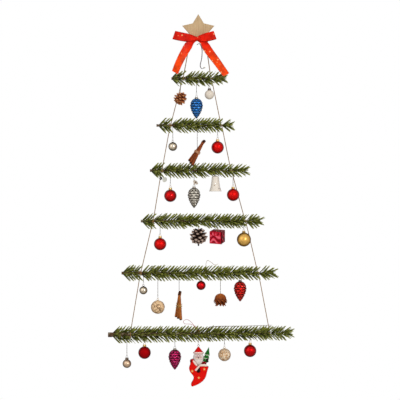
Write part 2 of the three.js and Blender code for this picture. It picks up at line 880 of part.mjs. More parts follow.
// Faces of a closed form with a pole on top, rows of points below it and a pole at the bottom
function gridFaces(around, rows) {
  const faces = [];
  const last = 1 + around * (rows - 1);
  for (let column = 0; column < around; column += 1) {
    const beside = (column + 1) % around;
    faces.push([0, 1 + column, 1 + beside]);
    for (let row = 0; row + 2 < rows; row += 1) {
      const upper = 1 + row * around;
      const lower = upper + around;
      const even = (row + column) % 2 === 0;
      if (even) {
        faces.push([upper + column, lower + column, lower + beside]);
        faces.push([upper + column, lower + beside, upper + beside]);
      } else {
        faces.push([upper + column, lower + column, upper + beside]);
        faces.push([upper + beside, lower + column, lower + beside]);
      }
    }
    faces.push([last, last - around + beside, last - around + column]);
  }
  return faces;
}

function glitterCone(name, tier, look, swing) {
  const item = new Ornament(name, tier, swing);
  const cap = revolved([[0, 0], [capRadius, 0], [capRadius * 0.8, capHeight], [0, capHeight]], 10);
  cap.translate(0, 0, item.top - 2 * capWall);
  const body = scaledCone(coneRadius, coneLength).translate(0, 0, item.top);
  item.add(fused(body, cap, ...eyeAndThread(item.top + capHeight - 2 * capWall - sink)), look);
  return item.keep(coneRadius, coneLength * 0.5, coneRadius)
    .keep(coneLength * 0.5, coneLength * 0.8, coneRadius * 0.75)
    .keep(coneLength * 0.8, coneLength, coneRadius * 0.35)
    .keep(-capHeight - 2 * eyeRadius, coneRadius / 2, capRadius);
}

// A plate that widens from its root to its lip, lying along +X
function coneScale(length, lip, thickness) {
  const plate = new THREE.BoxGeometry(length, lip, thickness).translate(length / 2, 0, 0);
  const position = plate.attributes.position;
  for (let index = 0; index < position.count; index += 1) {
    if (position.getX(index) < length / 2) position.setY(index, position.getY(index) / 2);
    else position.setZ(index, position.getZ(index) * 0.7);
  }
  return plate;
}

// Scales set round a core at the golden angle, pointing out and down
function pineCone(radius, length, scales) {
  const golden = Math.PI * (3 - Math.sqrt(5));
  const core = ballSolid(radius / 2, 6, 4).scale(1, 1, length / radius);
  const plates = [];
  for (let index = 0; index < scales; index += 1) {
    const share = (index + 0.5) / scales;
    const swell = Math.sin(Math.PI * (0.14 + 0.74 * share));
    const plate = coneScale(radius * swell, radius * 0.5 * swell + scaleThickness, scaleThickness);
    plate.rotateY(radians(THREE.MathUtils.lerp(-10, 55, share)));
    plate.rotateZ(index * golden);
    const root = THREE.MathUtils.lerp(length * 0.42, -length * 0.3, share);
    plates.push(plate.translate(0, 0, root));
  }
  return fused(core, ...plates);
}

function hungPineCone(name, tier, radius, length, scales, tiltDegrees) {
  const item = new Ornament(name, tier);
  const cone = pineCone(radius, length, scales).rotateY(radians(tiltDegrees));
  cone.translate(0, 0, item.top - length / 2);
  const lineEnd = new THREE.Vector3(0, 0, item.top - length / 3);
  const line = rod(new THREE.Vector3(), lineEnd, threadRadius, threadSides);
  item.add(fused(cone, line), coneBrown);
  return item.keep(length / 2, length / 2, Math.max(radius, length / 2));
}

// A cinnamon quill is a sheet of bark rolled in on itself: round at first, then curling inward
function quill() {
  const turns = 1.45;
  const roundTurns = 0.62;
  const startAngle = Math.PI / 3;
  const outline = new THREE.Shape();
  const edge = (share, inset) => {
    const curled = Math.max(0, turns * share - roundTurns) / (1 - roundTurns);
    const angle = startAngle + 2 * Math.PI * turns * share;
    const radius = quillRadius - inset - (quillWall + quillGap) * curled;
    return [radius * Math.cos(angle), radius * Math.sin(angle)];
  };
  outline.moveTo(...edge(0, 0));
  for (let step = 1; step <= quillStepCount; step += 1) outline.lineTo(...edge(step / quillStepCount, 0));
  for (let step = quillStepCount; step >= 0; step -= 1) {
    outline.lineTo(...edge(step / quillStepCount, quillWall));
  }
  outline.closePath();
  return new THREE.ExtrudeGeometry(outline, { depth: quillLength, bevelEnabled: false })
    .translate(0, 0, -quillLength / 2);
}

// Three quills laid one before the other. They cross near their top ends and fan out below, and the
// thread comes down behind them to the back of their tie.
function cinnamon(name, tier, tiltDegrees) {
  const item = new Ornament(name, tier, nestedSwingDegrees);
  const spacing = 2 * quillRadius - sink;
  const tilt = radians(tiltDegrees);
  const fan = radians(quillFanDegrees);
  const spread = quillCrossRise * Math.tan(fan);
  const tieHalf = quillRadius + spread + threadGap + tieRadius + sink;
  const centre = new THREE.Vector3(0, -spacing - tieHalf, item.top);
  const along = new THREE.Vector3(Math.sin(tilt), 0, Math.cos(tilt));
  const cross = centre.clone().addScaledVector(along, quillCrossRise);
  const places = [-1, 0, 1].map((place) => {
    const way = new THREE.Vector3(Math.sin(tilt + fan * place), 0, Math.cos(tilt + fan * place));
    const middle = cross.clone().addScaledVector(way, place * quillSlide - quillCrossRise);
    middle.y += place * spacing;
    return { way, middle, angle: tilt + fan * place };
  });
  const quills = places.map(({ middle, angle }) => quill().rotateY(angle).translate(...middle.toArray()));
  item.add(fused(...quills), bark);
  const tie = closedTube(roundedLoop(tieHalf, spacing), tieRadius, 6).rotateY(tilt);
  tie.translate(...centre.toArray());
  const line = rod(new THREE.Vector3(), new THREE.Vector3(0, 0, item.top), threadRadius, threadSides);
  item.add(fused(tie, line), jute, '_tie');
  places.forEach(({ way, middle }) => {
    const from = middle.clone().addScaledVector(way, quillLength / 2);
    const to = middle.clone().addScaledVector(way, -quillLength / 2);
    item.shapes.push(capsule(from, to, quillRadius));
  });
  return item;
}

// Two half circles with straight sides between them
function roundedLoop(radius, halfStraight) {
  const points = [];
  [0, Math.PI].forEach((start) => {
    for (let step = 0; step <= 6; step += 1) {
      const angle = start + (Math.PI * step) / 6;
      const shift = start === 0 ? halfStraight : -halfStraight;
      points.push(new THREE.Vector3(radius * Math.cos(angle), radius * Math.sin(angle) + shift, 0));
    }
  });
  return points;
}

function whiteBell(name, tier) {
  const item = new Ornament(name, tier);
  const inside = bellHeight - bellWall;
  const flare = (share) => THREE.MathUtils.lerp(bellTopRadius, bellMouthRadius, (share + share ** 4) / 2);
  const profile = [[0, -bellWall]];
  for (let step = 0; step <= 5; step += 1) {
    profile.push([flare(step / 5) - bellWall, -bellWall - (inside * step) / 5]);
  }
  for (let step = 5; step >= 1; step -= 1) {
    profile.push([flare(step / 5), -(bellHeight * step) / 5]);
  }
  profile.push([bellTopRadius, -bellWall], [bellTopRadius * 0.7, 0], [0, 0]);
  const shell = revolved(profile, 14);
  const stemTop = new THREE.Vector3(0, 0, -bellWall / 2);
  const stem = rod(stemTop, new THREE.Vector3(0, 0, -clapperDrop), threadRadius, tautSides);
  const clapper = ballSolid(clapperRadius, 8, 6).translate(0, 0, -clapperDrop);
  const bell = fused(shell, stem, clapper).translate(0, 0, item.top);
  item.add(fused(bell, ...eyeAndThread(item.top - sink)), pale);
  return item.keep(-2 * eyeRadius, 0, eyeRadius)
    .keep(bellTopRadius, bellHeight - bellMouthRadius, bellMouthRadius);
}

// A small wrapped box, turned a little and tipped forward, so that its top and right side show
function redGift(name, tier) {
  const item = new Ornament(name, tier);
  const turn = radians(giftTurnDegrees);
  const tip = radians(giftTipDegrees);
  const box = new THREE.BoxGeometry(giftSize, giftSize, giftSize).rotateZ(-turn).rotateX(tip);
  const low = (giftSize / 2) * (Math.cos(tip) + Math.sin(tip) * (Math.cos(turn) + Math.sin(turn)));
  const middle = item.top - low;
  box.translate(0, 0, middle);
  item.add(fused(box, ...eyeAndThread(middle + giftSize / 2 - sink)), glossRed);
  const reach = giftSize / 2;
  [-1, 1].forEach((side) => {
    item.keep(reach, 2 * low - reach, reach * Math.SQRT2 / 2, (side * reach) / 2);
    item.keep(0, 2 * low, reach / 2, (side * reach) / 2);
  });
  return item.keep(-reach / 2, 0, reach / 4);
}

function seedPod(name, tier) {
  const item = new Ornament(name, tier);
  const points = [new THREE.Vector3(0, 0, podHeight / 2)];
  for (let row = 1; row < podRowCount; row += 1) {
    const angle = (Math.PI * row) / podRowCount;
    for (let column = 0; column < podColumnCount; column += 1) {
      const lobe = column % 2 === 0 ? 1 : 0.93;
      const turn = (2 * Math.PI * column) / podColumnCount;
      const reach = podRadius * Math.sin(angle) * lobe;
      points.push(new THREE.Vector3(
        reach * Math.cos(turn),
        reach * Math.sin(turn),
        (podHeight / 2) * Math.cos(angle),
      ));
    }
  }
  points.push(new THREE.Vector3(0, 0, -podHeight / 2));
  const body = fromFaces(points, gridFaces(podColumnCount, podRowCount));
  const crown = [];
  for (let tooth = 0; tooth < 6; tooth += 1) {
    const spike = new THREE.ConeGeometry(crownRadius / 3, crownHeight * 2, 4).rotateX(-Math.PI / 2);
    spike.rotateY(radians(20)).translate(crownRadius / 2, 0, -podHeight / 2);
    crown.push(spike.rotateZ((tooth * Math.PI) / 3));
  }
  const pod = fused(body, ...crown).translate(0, 0, item.top - podHeight / 2);
  const line = rod(new THREE.Vector3(), new THREE.Vector3(0, 0, item.top - sink), threadRadius, threadSides);
  item.add(fused(pod, line), bark);
  return item.keep(podRadius, podHeight - podRadius, podRadius);
}

// A bearded head in a pointed hat, a sleeve with a mitten, a second mitten that holds a small tree,
// and the stocking that they stand in
function stockingFigure(name, tier) {
  const item = new Ornament(name, tier);
  const hat = new THREE.ConeGeometry(hatRadius, hatHeight, 12).rotateX(Math.PI / 2);
  hat.translate(0, 0, -hatHeight / 2);
  const brim = new THREE.TorusGeometry(hatRadius, brimRadius, 5, 12).translate(0, 0, -hatHeight);
  const head = ballSolid(1, 12, 6).scale(headHalfWidth, headHalfDepth, headHalfHeight);
  head.translate(0, 0, -headDrop);
  const beardLength = beardDrop - headDrop;
  const beard = new THREE.ConeGeometry(1, beardLength, 12).rotateX(-Math.PI / 2);
  beard.scale(headHalfWidth - sink, headHalfDepth - sink, 1).translate(0, -sink, -headDrop - beardLength / 2);
  const cuffOut = stockingWidth / 2;
  const front = -stockingDepth / 2 - trimRadius / 2;
  const trims = [
    limb([0, 0, -headDrop - 7 * trimRadius], [cuffOut - trimRadius / 2, 0, -headDrop - 7 * trimRadius]),
    limb([-headHalfWidth, front, -stockingTop - trimRadius], [-trimRadius, front, -beardDrop + trimRadius]),
    limb(
      [trimRadius, front, -beardDrop + trimRadius],
      [-2.7 * trimRadius, front, -beardDrop - 3.2 * trimRadius],
    ),
  ];
  const lowMitten = ballSolid(mittenRadius, 8, 6).translate(0, front, -beardDrop - 2 * mittenRadius);
  const highMitten = ballSolid(mittenRadius, 8, 6).scale(0.7, 1, 1.15);
  highMitten.translate(cuffOut - trimRadius, front / 2, -headDrop - 1.5 * mittenRadius);
  const parts = [hat, brim, head, beard, ...trims, lowMitten, highMitten, heldTree(), stocking()];
  const body = fused(...parts).translate(0, 0, item.top);
  item.add(fused(body, ...eyeAndThread(item.top - 3 * sink)), figureRed);
  return item.keep(hatHeight, hatHeight, hatRadius)
    .keep(heldTreeDrop, heldTreeHeight, eyeRadius, heldTreeOut)
    .keep(headDrop, beardDrop, stockingWidth / 2);
}

function limb(from, to) {
  return rod(new THREE.Vector3(...from), new THREE.Vector3(...to), trimRadius, 6);
}

// Three cones one in the other on a stem, leaning to the left
function heldTree() {
  const stem = rod(
    new THREE.Vector3(0, 0, -heldTreeHeight / 2),
    new THREE.Vector3(0, 0, -1.2 * heldTreeHeight),
    heldTreeRadius / 2,
    6,
  );
  const layers = [0, 1, 2].map((layer) => {
    const height = heldTreeHeight / 2;
    const cone = new THREE.ConeGeometry((heldTreeRadius * (layer + 4)) / 6, height, 8).rotateX(Math.PI / 2);
    return cone.translate(0, 0, -height / 2 - (layer * height) / 2);
  });
  const whole = fused(stem, ...layers).rotateY(radians(heldTreeLeanDegrees));
  return whole.translate(heldTreeOut, 0, -heldTreeDrop);
}

// The stocking narrows to the ankle and turns to a pointed toe on the left
function stocking() {
  const points = stockingShares.map(([out, down]) => {
    return new THREE.Vector2(out * stockingWidth, -stockingTop - down * stockingHeight);
  });
  const outline = new THREE.Shape();
  outline.moveTo(points[0].x, points[0].y);
  outline.lineTo(points[1].x, points[1].y);
  outline.splineThru(points.slice(2, 16));
  outline.lineTo(points[16].x, points[16].y);
  outline.closePath();
  const leg = new THREE.ExtrudeGeometry(outline, {
    depth: stockingDepth - 2 * stockingRound,
    bevelThickness: stockingRound,
    bevelSize: stockingWidth * stockingRoundShare,
    bevelOffset: -stockingWidth * stockingRoundShare,
    bevelSegments: 1,
    curveSegments: 2,
  });
  return leg.translate(0, 0, stockingRound - stockingDepth / 2).rotateX(Math.PI / 2);
}

const ornaments = [
  hungPineCone('brown_pine_cone', 0, brownConeRadius, brownConeLength, 23, 30),
  glitterCone('blue_glitter_cone', 0, blueGlitter, nestedSwingDegrees),
  cappedBall('cream_ball', 0, creamBallRadius, pale),
  plainBall('silver_ball_upper', 1, upperSilverRadius, silver),
  cinnamon('cinnamon_upper', 1, 31),
  cappedBall('red_ball_1', 1, redBallRadius, glossRed),
  cappedBall('red_ball_2', 2, redBallRadius, glossRed),
  glitterCone('silver_cone', 2, silver),
  whiteBell('white_bell', 2),
  cappedBall('red_ball_3', 2, redBallRadius, glossRed),
  cappedBall('red_ball_4', 3, redBallRadius, glossRed),
  hungPineCone('frosted_pine_cone', 3, frostedConeRadius, frostedConeLength, 27, 0),
  redGift('red_gift', 3),
  cappedBall('gold_ball', 3, goldBallRadius, gold),
  plainBall('silver_ball_lower', 4, lowerSilverRadius, silver),
  plainBall('gold_curl_ball', 4, curlBallRadius, gold),
  cinnamon('cinnamon_lower', 4, 3),
  plainBall('small_red_ball', 4, smallRedRadius, glossRed),
  seedPod('seed_pod', 4),
  glitterCone('red_glitter_cone', 4, redGlitter),
  cappedBall('champagne_ball', 5, champagneBallRadius, gold),
  cappedBall('red_ball_5', 5, redBallRadius, glossRed),
  glitterCone('magenta_glitter_cone', 5, magentaGlitter),
  stockingFigure('stocking_figure', 5),
  plainBall('gold_glitter_ball', 5, glitterBallRadius, gold),
  cappedBall('red_ball_6', 5, redBallRadius, glossRed),
];

// The whole tree: each tier hangs from the axis of the branch above it
const tree = new THREE.Group();
tree.add(named('star', star(), wood));
tree.add(named('ribbon_bow', bow(), ribbonRed));
tree.add(named('hanging_cord', hangingCord(), jute));
tree.add(named('centre_string', centreString(), thread));

let hook = tree;
for (let tier = 0; tier <= tierDrops.length; tier += 1) {
  const fold = new THREE.Group();
  if (tier > 0) {
    fold.add(named(`side_cord_left_${tier + 1}`, sideCord(tier, -1), jute));
    fold.add(named(`side_cord_right_${tier + 1}`, sideCord(tier, 1), jute));
  }
  const axis = new THREE.Group();
  axis.position.z = tier === 0 ? -firstDrop : -tierDrops[tier - 1];
  axis.add(named(`branch_${tier + 1}`, needledTwig(tier, ornaments), fir));
  ornaments.filter((item) => item.tier === tier).forEach((item) => axis.add(item.group));
  if (tier === 4) axis.add(named('gold_thread_curl', looseThread(goldCurlPath()), thread));
  if (tier === 5) axis.add(named('figure_cord_loop', looseThread(figureLoopPath()), ribbonRed));
  fold.add(axis);
  hook.add(fold);
  hook = axis;
}

export default tree;
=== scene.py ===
# %% [markdown]
# # Wall christmas tree
# Six fir branches hang one under the other from two jute cords. A wooden star and a ribbon bow sit
# at the top, and small ornaments hang from the branches on threads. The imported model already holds
# every part at its true size, so this lesson only gives each part its fine shape and its finish.
# Everything is in metres. The top of the nail is the origin, +Z is up and the wall is at +Y.

import json
import math

import bpy
import numpy as np
from mathutils import Matrix, Vector
from mathutils.bvhtree import BVHTree

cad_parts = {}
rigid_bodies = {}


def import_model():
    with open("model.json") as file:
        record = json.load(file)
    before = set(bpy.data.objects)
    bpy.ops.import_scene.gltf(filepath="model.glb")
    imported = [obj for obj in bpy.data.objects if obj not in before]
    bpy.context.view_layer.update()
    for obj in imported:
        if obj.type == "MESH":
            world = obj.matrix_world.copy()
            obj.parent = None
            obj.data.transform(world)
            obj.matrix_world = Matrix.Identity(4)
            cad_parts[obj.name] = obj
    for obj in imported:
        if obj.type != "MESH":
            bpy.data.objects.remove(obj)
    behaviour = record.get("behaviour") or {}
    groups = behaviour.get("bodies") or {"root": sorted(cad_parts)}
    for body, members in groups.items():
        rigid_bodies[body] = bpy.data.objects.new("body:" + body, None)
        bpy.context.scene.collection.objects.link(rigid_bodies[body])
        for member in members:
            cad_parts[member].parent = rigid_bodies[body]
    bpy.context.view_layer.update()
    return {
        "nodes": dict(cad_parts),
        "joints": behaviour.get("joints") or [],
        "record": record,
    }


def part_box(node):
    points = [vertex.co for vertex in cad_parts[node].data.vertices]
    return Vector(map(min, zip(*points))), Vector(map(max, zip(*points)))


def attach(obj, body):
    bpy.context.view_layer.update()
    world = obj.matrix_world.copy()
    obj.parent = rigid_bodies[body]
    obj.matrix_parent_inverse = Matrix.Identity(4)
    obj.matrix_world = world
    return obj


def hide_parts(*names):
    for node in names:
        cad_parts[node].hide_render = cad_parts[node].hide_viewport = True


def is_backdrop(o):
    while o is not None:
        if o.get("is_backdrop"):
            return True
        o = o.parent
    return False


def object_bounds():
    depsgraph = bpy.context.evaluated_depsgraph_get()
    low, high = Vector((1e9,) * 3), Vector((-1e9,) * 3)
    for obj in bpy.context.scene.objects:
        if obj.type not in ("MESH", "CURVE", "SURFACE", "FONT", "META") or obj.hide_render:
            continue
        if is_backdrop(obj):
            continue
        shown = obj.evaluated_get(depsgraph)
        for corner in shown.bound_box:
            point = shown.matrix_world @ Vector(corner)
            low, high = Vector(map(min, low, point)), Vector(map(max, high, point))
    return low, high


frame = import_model()
nodes_of = frame["record"]["behaviour"]["bodies"]

# %% [markdown]
# ## How a finish is made
# Every finish is a material made of nodes, so that it holds up close and from any side. Short
# helpers add one node each, set its numbers and link its inputs. Patterns read Object coordinates,
# because every finished piece keeps its origin at the nail, and so the pattern stays on the piece.

# %% Helpers for materials
DRY_GLOSS = 0.12
SOCKET_KINDS = {"colour": "NodeSocketColor", "number": "NodeSocketFloat", "vector": "NodeSocketVector"}


def fill(tree, made, sockets):
    """Fills each socket with a value or a link."""
    for key, value in sockets.items():
        if isinstance(value, bpy.types.NodeSocket):
            tree.links.new(value, made.inputs[key])
        else:
            made.inputs[key].default_value = value


def node(tree, kind, sockets=None, **settings):
    """Adds a node, sets its options and fills its sockets."""
    made = tree.nodes.new(kind)
    for option, value in settings.items():
        setattr(made, option, value)
    fill(tree, made, sockets or {})
    return made


def srgb(red, green, blue):
    """Turns a colour of 0 to 255, as a paint chart gives it, into Blender's linear one."""
    linear = [((c / 255 + 0.055) / 1.055) ** 2.4 if c > 10 else c / 255 / 12.92 for c in (red, green, blue)]
    return (*linear, 1)


def new_finish(name, roughness, **plain):
    """Starts a material and returns it with its tree, its shader and its Object coordinates."""
    finish = bpy.data.materials.new(name)
    finish.use_nodes = True
    tree = finish.node_tree
    shader = tree.nodes["Principled BSDF"]
    fill(tree, shader, {"Roughness": roughness, "Specular IOR Level": DRY_GLOSS})
    fill(tree, shader, {key.replace("_", " "): value for key, value in plain.items()})
    print("finish", name)
    return finish, tree, shader, node(tree, "ShaderNodeTexCoord").outputs["Object"]


def mixed(tree, share, first, second, blend="MIX"):
    sockets = {0: share, 6: first, 7: second}
    return node(tree, "ShaderNodeMix", sockets, data_type="RGBA", blend_type=blend).outputs[2]


def worked_out(tree, operation, *values):
    return node(tree, "ShaderNodeMath", dict(enumerate(values)), operation=operation).outputs[0]


def vector(tree, operation, *values, **sockets):
    sockets = {**dict(enumerate(values)), **sockets}
    return node(tree, "ShaderNodeVectorMath", sockets, operation=operation).outputs[0]


def between(tree, value, low, high, to_low=0.0, to_high=1.0):
    return node(tree, "ShaderNodeMapRange", {
        "Value": value, "From Min": low, "From Max": high, "To Min": to_low, "To Max": to_high,
    }).outputs["Result"]


def axis_of(tree, place, axis):
    return node(tree, "ShaderNodeSeparateXYZ", {"Vector": place}).outputs[axis]


def value_of(tree, attribute):
    return node(tree, "ShaderNodeAttribute", attribute_name=attribute).outputs["Fac"]


def bumps(tree, strength, distance, height):
    sockets = {"Strength": strength, "Distance": distance, "Height": height}
    return node(tree, "ShaderNodeBump", sockets).outputs[0]


def painted_rim_shade(tree, start, full):
    """Share of painted shade at the rim: 0 where the surface faces the viewer, and 1 where it turns away."""
    facing = node(tree, "ShaderNodeLayerWeight", {"Blend": 0.5}).outputs["Facing"]
    return between(tree, facing, start, full)


def new_group(name, inputs, outputs):
    """Starts a node group. Each socket has a name and a type, and an input may have a first value."""
    group = bpy.data.node_groups.new(name, "ShaderNodeTree")
    for way, sockets in (("INPUT", inputs), ("OUTPUT", outputs)):
        for key, kind, *start in sockets:
            socket = group.interface.new_socket(key, in_out=way, socket_type=SOCKET_KINDS[kind])
            if start:
                socket.default_value = start[0]
    print("effect", name)
    return group, node(group, "NodeGroupInput").outputs, node(group, "NodeGroupOutput")


def use(tree, group, sockets):
    return node(tree, "ShaderNodeGroup", sockets, node_tree=group).outputs


# %% [markdown]
# ## Camera and light
# The photograph looks straight at the tree from a few metres away, so a long lens stands 3.4 m off.
# 400 pixels span 1.1 m. The light is soft and comes from the front, as in a studio: one large lamp
# high on the right, a weaker one on the left, and a white world. The world shows as plain white to
# the camera and in gloss, but lights the object more gently, and less from below. A pale floor lies
# far down.

# %% Camera
VIEW_WIDTH, CAMERA_AWAY, SENSOR_WIDTH = 1.1, 3.4, 36
bpy.ops.object.camera_add(location=(0.0047, -CAMERA_AWAY, -0.488), rotation=(math.pi / 2, 0, 0))
camera = bpy.context.object
camera.data.sensor_width = SENSOR_WIDTH
camera.data.lens = SENSOR_WIDTH * CAMERA_AWAY / VIEW_WIDTH
bpy.context.scene.camera = camera
print("lens", round(camera.data.lens, 1), "mm")

# %% Lamps
bpy.context.scene.view_settings.view_transform = "Standard"
for name, place, target, size, power in (
    ("key_lamp", (1.5, -3.0, 0.35), (0, 0, -0.45), 0.7, 46),
    ("fill_lamp", (-2.2, -2.6, 0.8), (0, 0, -0.5), 2.6, 22),
):
    bpy.ops.object.light_add(type="AREA", location=place)
    lamp = bpy.context.object
    lamp.name = name
    lamp.data.size = size
    lamp.data.energy = power
    lamp.rotation_euler = (Vector(target) - Vector(place)).to_track_quat("-Z", "Y").to_euler()
    print(name, power, "W")

# %% World and floor
world = bpy.data.worlds.new("studio")
bpy.context.scene.world = world
world.use_nodes = True
world.node_tree.nodes.clear()


def white_where_seen(tree, from_below, from_above):
    """Links a background that is plain white to the camera and in gloss and glass. As light it is
    gentler, and weaker from below than from above."""
    path = node(tree, "ShaderNodeLightPath").outputs
    seen = path["Is Camera Ray"]
    for kind in ("Is Glossy Ray", "Is Transmission Ray"):
        seen = worked_out(tree, "MAXIMUM", seen, path[kind])
    rise = axis_of(tree, node(tree, "ShaderNodeTexCoord").outputs["Generated"], "Z")
    light = between(tree, rise, -0.7, 0.9, from_below, from_above)
    strength = between(tree, seen, 0, 1, light, 1.0)
    background = node(tree, "ShaderNodeBackground", {"Color": (1, 1, 1, 1), "Strength": strength})
    node(tree, "ShaderNodeOutputWorld", {"Surface": background.outputs[0]})


white_where_seen(world.node_tree, 0.14, 0.72)

bpy.ops.mesh.primitive_plane_add(size=1, location=(0, -0.25, -1.3))
floor = bpy.context.object
floor.name = "studio_floor"
floor.scale = (3.0, 2.5, 1.0)
floor.data.materials.append(
    new_finish("pale_floor", 0.9, Specular_IOR_Level=0.5, Base_Color=(0.7, 0.69, 0.67, 1))[0])
floor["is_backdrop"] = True

# %% [markdown]
# ## Effects that several finishes share
# Three effects come back on many parts, so each is a node group. Patches makes a colour lighter and
# darker in soft spots. Fibres draws fine lines that run along one direction, for wood, bark and
# twine. Glitter scatters small flakes that each face their own way, so some of them flash, and a
# share of them is painted in a bright flash colour as painted glints.

# %% Patches
patches, inside, out = new_group(
    "patches",
    [("Place", "vector"), ("Colour", "colour", (1, 1, 1, 1)), ("Scale", "number", 60.0), ("Amount", "number", 0.2)],
    [("Colour", "colour"), ("Mask", "number")],
)
spots = node(patches, "ShaderNodeTexNoise", {"Vector": inside["Place"], "Scale": inside["Scale"], "Detail": 4.0})
spread = between(patches, spots.outputs["Fac"], 0.3, 0.7)
swing = worked_out(patches, "MULTIPLY", worked_out(patches, "SUBTRACT", spread, 0.5), inside["Amount"])
level = worked_out(patches, "ADD", swing, 1.0)
fill(patches, out, {"Colour": vector(patches, "SCALE", inside["Colour"], Scale=level), "Mask": spread})


def patchy(tree, place, colour, scale, amount):
    return use(tree, patches, {"Place": place, "Colour": colour, "Scale": scale, "Amount": amount})


# %% Fibres
fibres, inside, out = new_group(
    "fibres",
    [("Place", "vector"), ("Along", "vector", (1.0, 1.0, 0.05)), ("Scale", "number", 900.0),
     ("Light", "colour", (1, 1, 1, 1)), ("Dark", "colour", (0, 0, 0, 1))],
    [("Colour", "colour"), ("Height", "number")],
)
lines = node(fibres, "ShaderNodeTexNoise", {
    "Vector": vector(fibres, "MULTIPLY", inside["Place"], inside["Along"]), "Scale": inside["Scale"],
    "Detail": 5.0, "Roughness": 0.62,
})
sharp = between(fibres, lines.outputs["Fac"], 0.34, 0.66)
fill(fibres, out, {"Colour": mixed(fibres, sharp, inside["Dark"], inside["Light"]), "Height": sharp})


def fibred(tree, place, along, scale, light, dark):
    return use(tree, fibres, {"Place": place, "Along": along, "Scale": scale, "Light": light, "Dark": dark})


# %% Glitter
glitter, inside, out = new_group(
    "glitter",
    [("Place", "vector"), ("Body", "colour", (0.5, 0.5, 0.5, 1)), ("Flash", "colour", (1, 1, 1, 1)),
     ("Scale", "number", 1500.0), ("Tilt", "number", 0.7), ("Share", "number", 0.3)],
    [("Colour", "colour"), ("Normal", "vector"), ("Mask", "number")],
)
flakes = node(glitter, "ShaderNodeTexVoronoi", {"Vector": inside["Place"], "Scale": inside["Scale"]}).outputs["Color"]
parts = node(glitter, "ShaderNodeSeparateColor", {"Color": flakes}).outputs
# A share of the flakes takes the flash colour: a painted glint.
glinting = worked_out(glitter, "LESS_THAN", parts[0], inside["Share"])
tone = mixed(glitter, worked_out(glitter, "MULTIPLY", parts[1], 0.55), inside["Body"], (0, 0, 0, 1))
tilted = vector(glitter, "SCALE", vector(glitter, "SUBTRACT", flakes, (0.5, 0.5, 0.5)), Scale=inside["Tilt"])
leaning = vector(glitter, "ADD", node(glitter, "ShaderNodeNewGeometry").outputs["Normal"], tilted)
fill(glitter, out, {"Colour": mixed(glitter, glinting, tone, inside["Flash"]),
                    "Normal": vector(glitter, "NORMALIZE", leaning), "Mask": glinting})


def glittering(tree, place, body, flash, scale, tilt, share):
    return use(tree, glitter, {
        "Place": place, "Body": body, "Flash": flash, "Scale": scale, "Tilt": tilt, "Share": share,
    })


# %% [markdown]
# ## How a piece is shaped
# Each piece starts from one of Blender's primitives or from a single point, and is worked in edit
# mode. Operators act on whatever is selected, so every helper starts from a clean selection.
# A finished piece gives its place to its mesh, takes its finish, rides on a body of the packed
# model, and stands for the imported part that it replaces.

# %% Helpers for shaping


def deselect_all():
    if bpy.context.object and bpy.context.object.mode != "OBJECT":
        bpy.ops.object.mode_set(mode="OBJECT")
    bpy.ops.object.select_all(action="DESELECT")


def only(piece):
    deselect_all()
    piece.select_set(True)
    bpy.context.view_layer.objects.active = piece


def edit(piece):
    only(piece)
    bpy.ops.object.mode_set(mode="EDIT")
    bpy.ops.mesh.select_all(action="SELECT")


def done_editing():
    bpy.ops.mesh.select_all(action="SELECT")
    bpy.ops.mesh.remove_doubles(threshold=1e-6)
    bpy.ops.mesh.normals_make_consistent(inside=False)
    bpy.ops.object.mode_set(mode="OBJECT")
    return bpy.context.object


def spun(profile, steps):
    """Draws a profile of (radius, height) pairs from a single point and spins it round Z."""
    deselect_all()
    bpy.ops.mesh.primitive_plane_add(size=0.001, location=(0, 0, 0))
    bpy.ops.object.mode_set(mode="EDIT")
    bpy.ops.mesh.select_mode(type="VERT")
    bpy.ops.mesh.select_all(action="SELECT")
    bpy.ops.mesh.merge(type="CENTER")
    bpy.ops.transform.translate(value=(profile[0][0], 0, profile[0][1]))
    for (radius, height), (next_radius, next_height) in zip(profile, profile[1:]):
        step = (next_radius - radius, 0, next_height - height)
        bpy.ops.mesh.extrude_region_move(TRANSFORM_OT_translate={"value": step})
    bpy.ops.mesh.select_all(action="SELECT")
    bpy.ops.mesh.spin(steps=steps, angle=2 * math.pi, center=(0, 0, 0), axis=(0, 0, 1))
    return done_editing()


def with_modifier(piece, kind, **settings):
    """Adds a modifier, sets its options and applies it."""
    only(piece)
    bpy.ops.object.modifier_add(type=kind)
    modifier = piece.modifiers[-1]
    for option, value in settings.items():
        setattr(modifier, option, value)
    bpy.ops.object.modifier_apply(modifier=modifier.name)
    return piece


def placed(piece, place=(0, 0, 0), turn=(0, 0, 0), size=(1, 1, 1)):
    """Scales, turns and moves a piece from the origin, and gives the result to its mesh."""
    only(piece)
    piece.scale = size
    piece.rotation_euler = turn
    piece.location = place
    bpy.ops.object.transform_apply(location=True, rotation=True, scale=True)
    return piece


def primitive(kind, place=(0, 0, 0), turn=(0, 0, 0), scale=(1, 1, 1), **options):
    """One of Blender's primitives, scaled, turned and moved."""
    deselect_all()
    getattr(bpy.ops.mesh, f"primitive_{kind}_add")(**options)
    return placed(bpy.context.object, place, turn, scale)


def new_piece(name, points, faces, edges=()):
    deselect_all()
    mesh = bpy.data.meshes.new(name)
    mesh.from_pydata(points, edges, faces)
    piece = bpy.data.objects.new(name, mesh)
    bpy.context.collection.objects.link(piece)
    return piece


def marked(piece, **marks):
    """Gives each corner a number under a name, for the finish to read."""
    for name, numbers in marks.items():
        piece.data.attributes.new(name, "FLOAT", "POINT").data.foreach_set("value", numbers)
    return piece


def reshaped(piece, change, mark=None):
    """Moves every corner to where change(x, y, z) puts it. A fourth number goes under a name."""
    numbers = []
    for vertex in piece.data.vertices:
        x, y, z, *number = change(*vertex.co)
        vertex.co = (x, y, z)
        numbers += number
    return marked(piece, **{mark: numbers}) if mark else piece


def copies_of(points, faces, count, **marks):
    """One mesh of many copies of a small piece, whose points come one copy after the other."""
    size = len(points) // count
    every = [[corner + size * copy for corner in face] for copy in range(count) for face in faces]
    return marked(new_piece("copies", points, every), **marks)


def around(count):
    """Angles at even steps round a full turn."""
    return [2 * math.pi * step / count for step in range(count)]


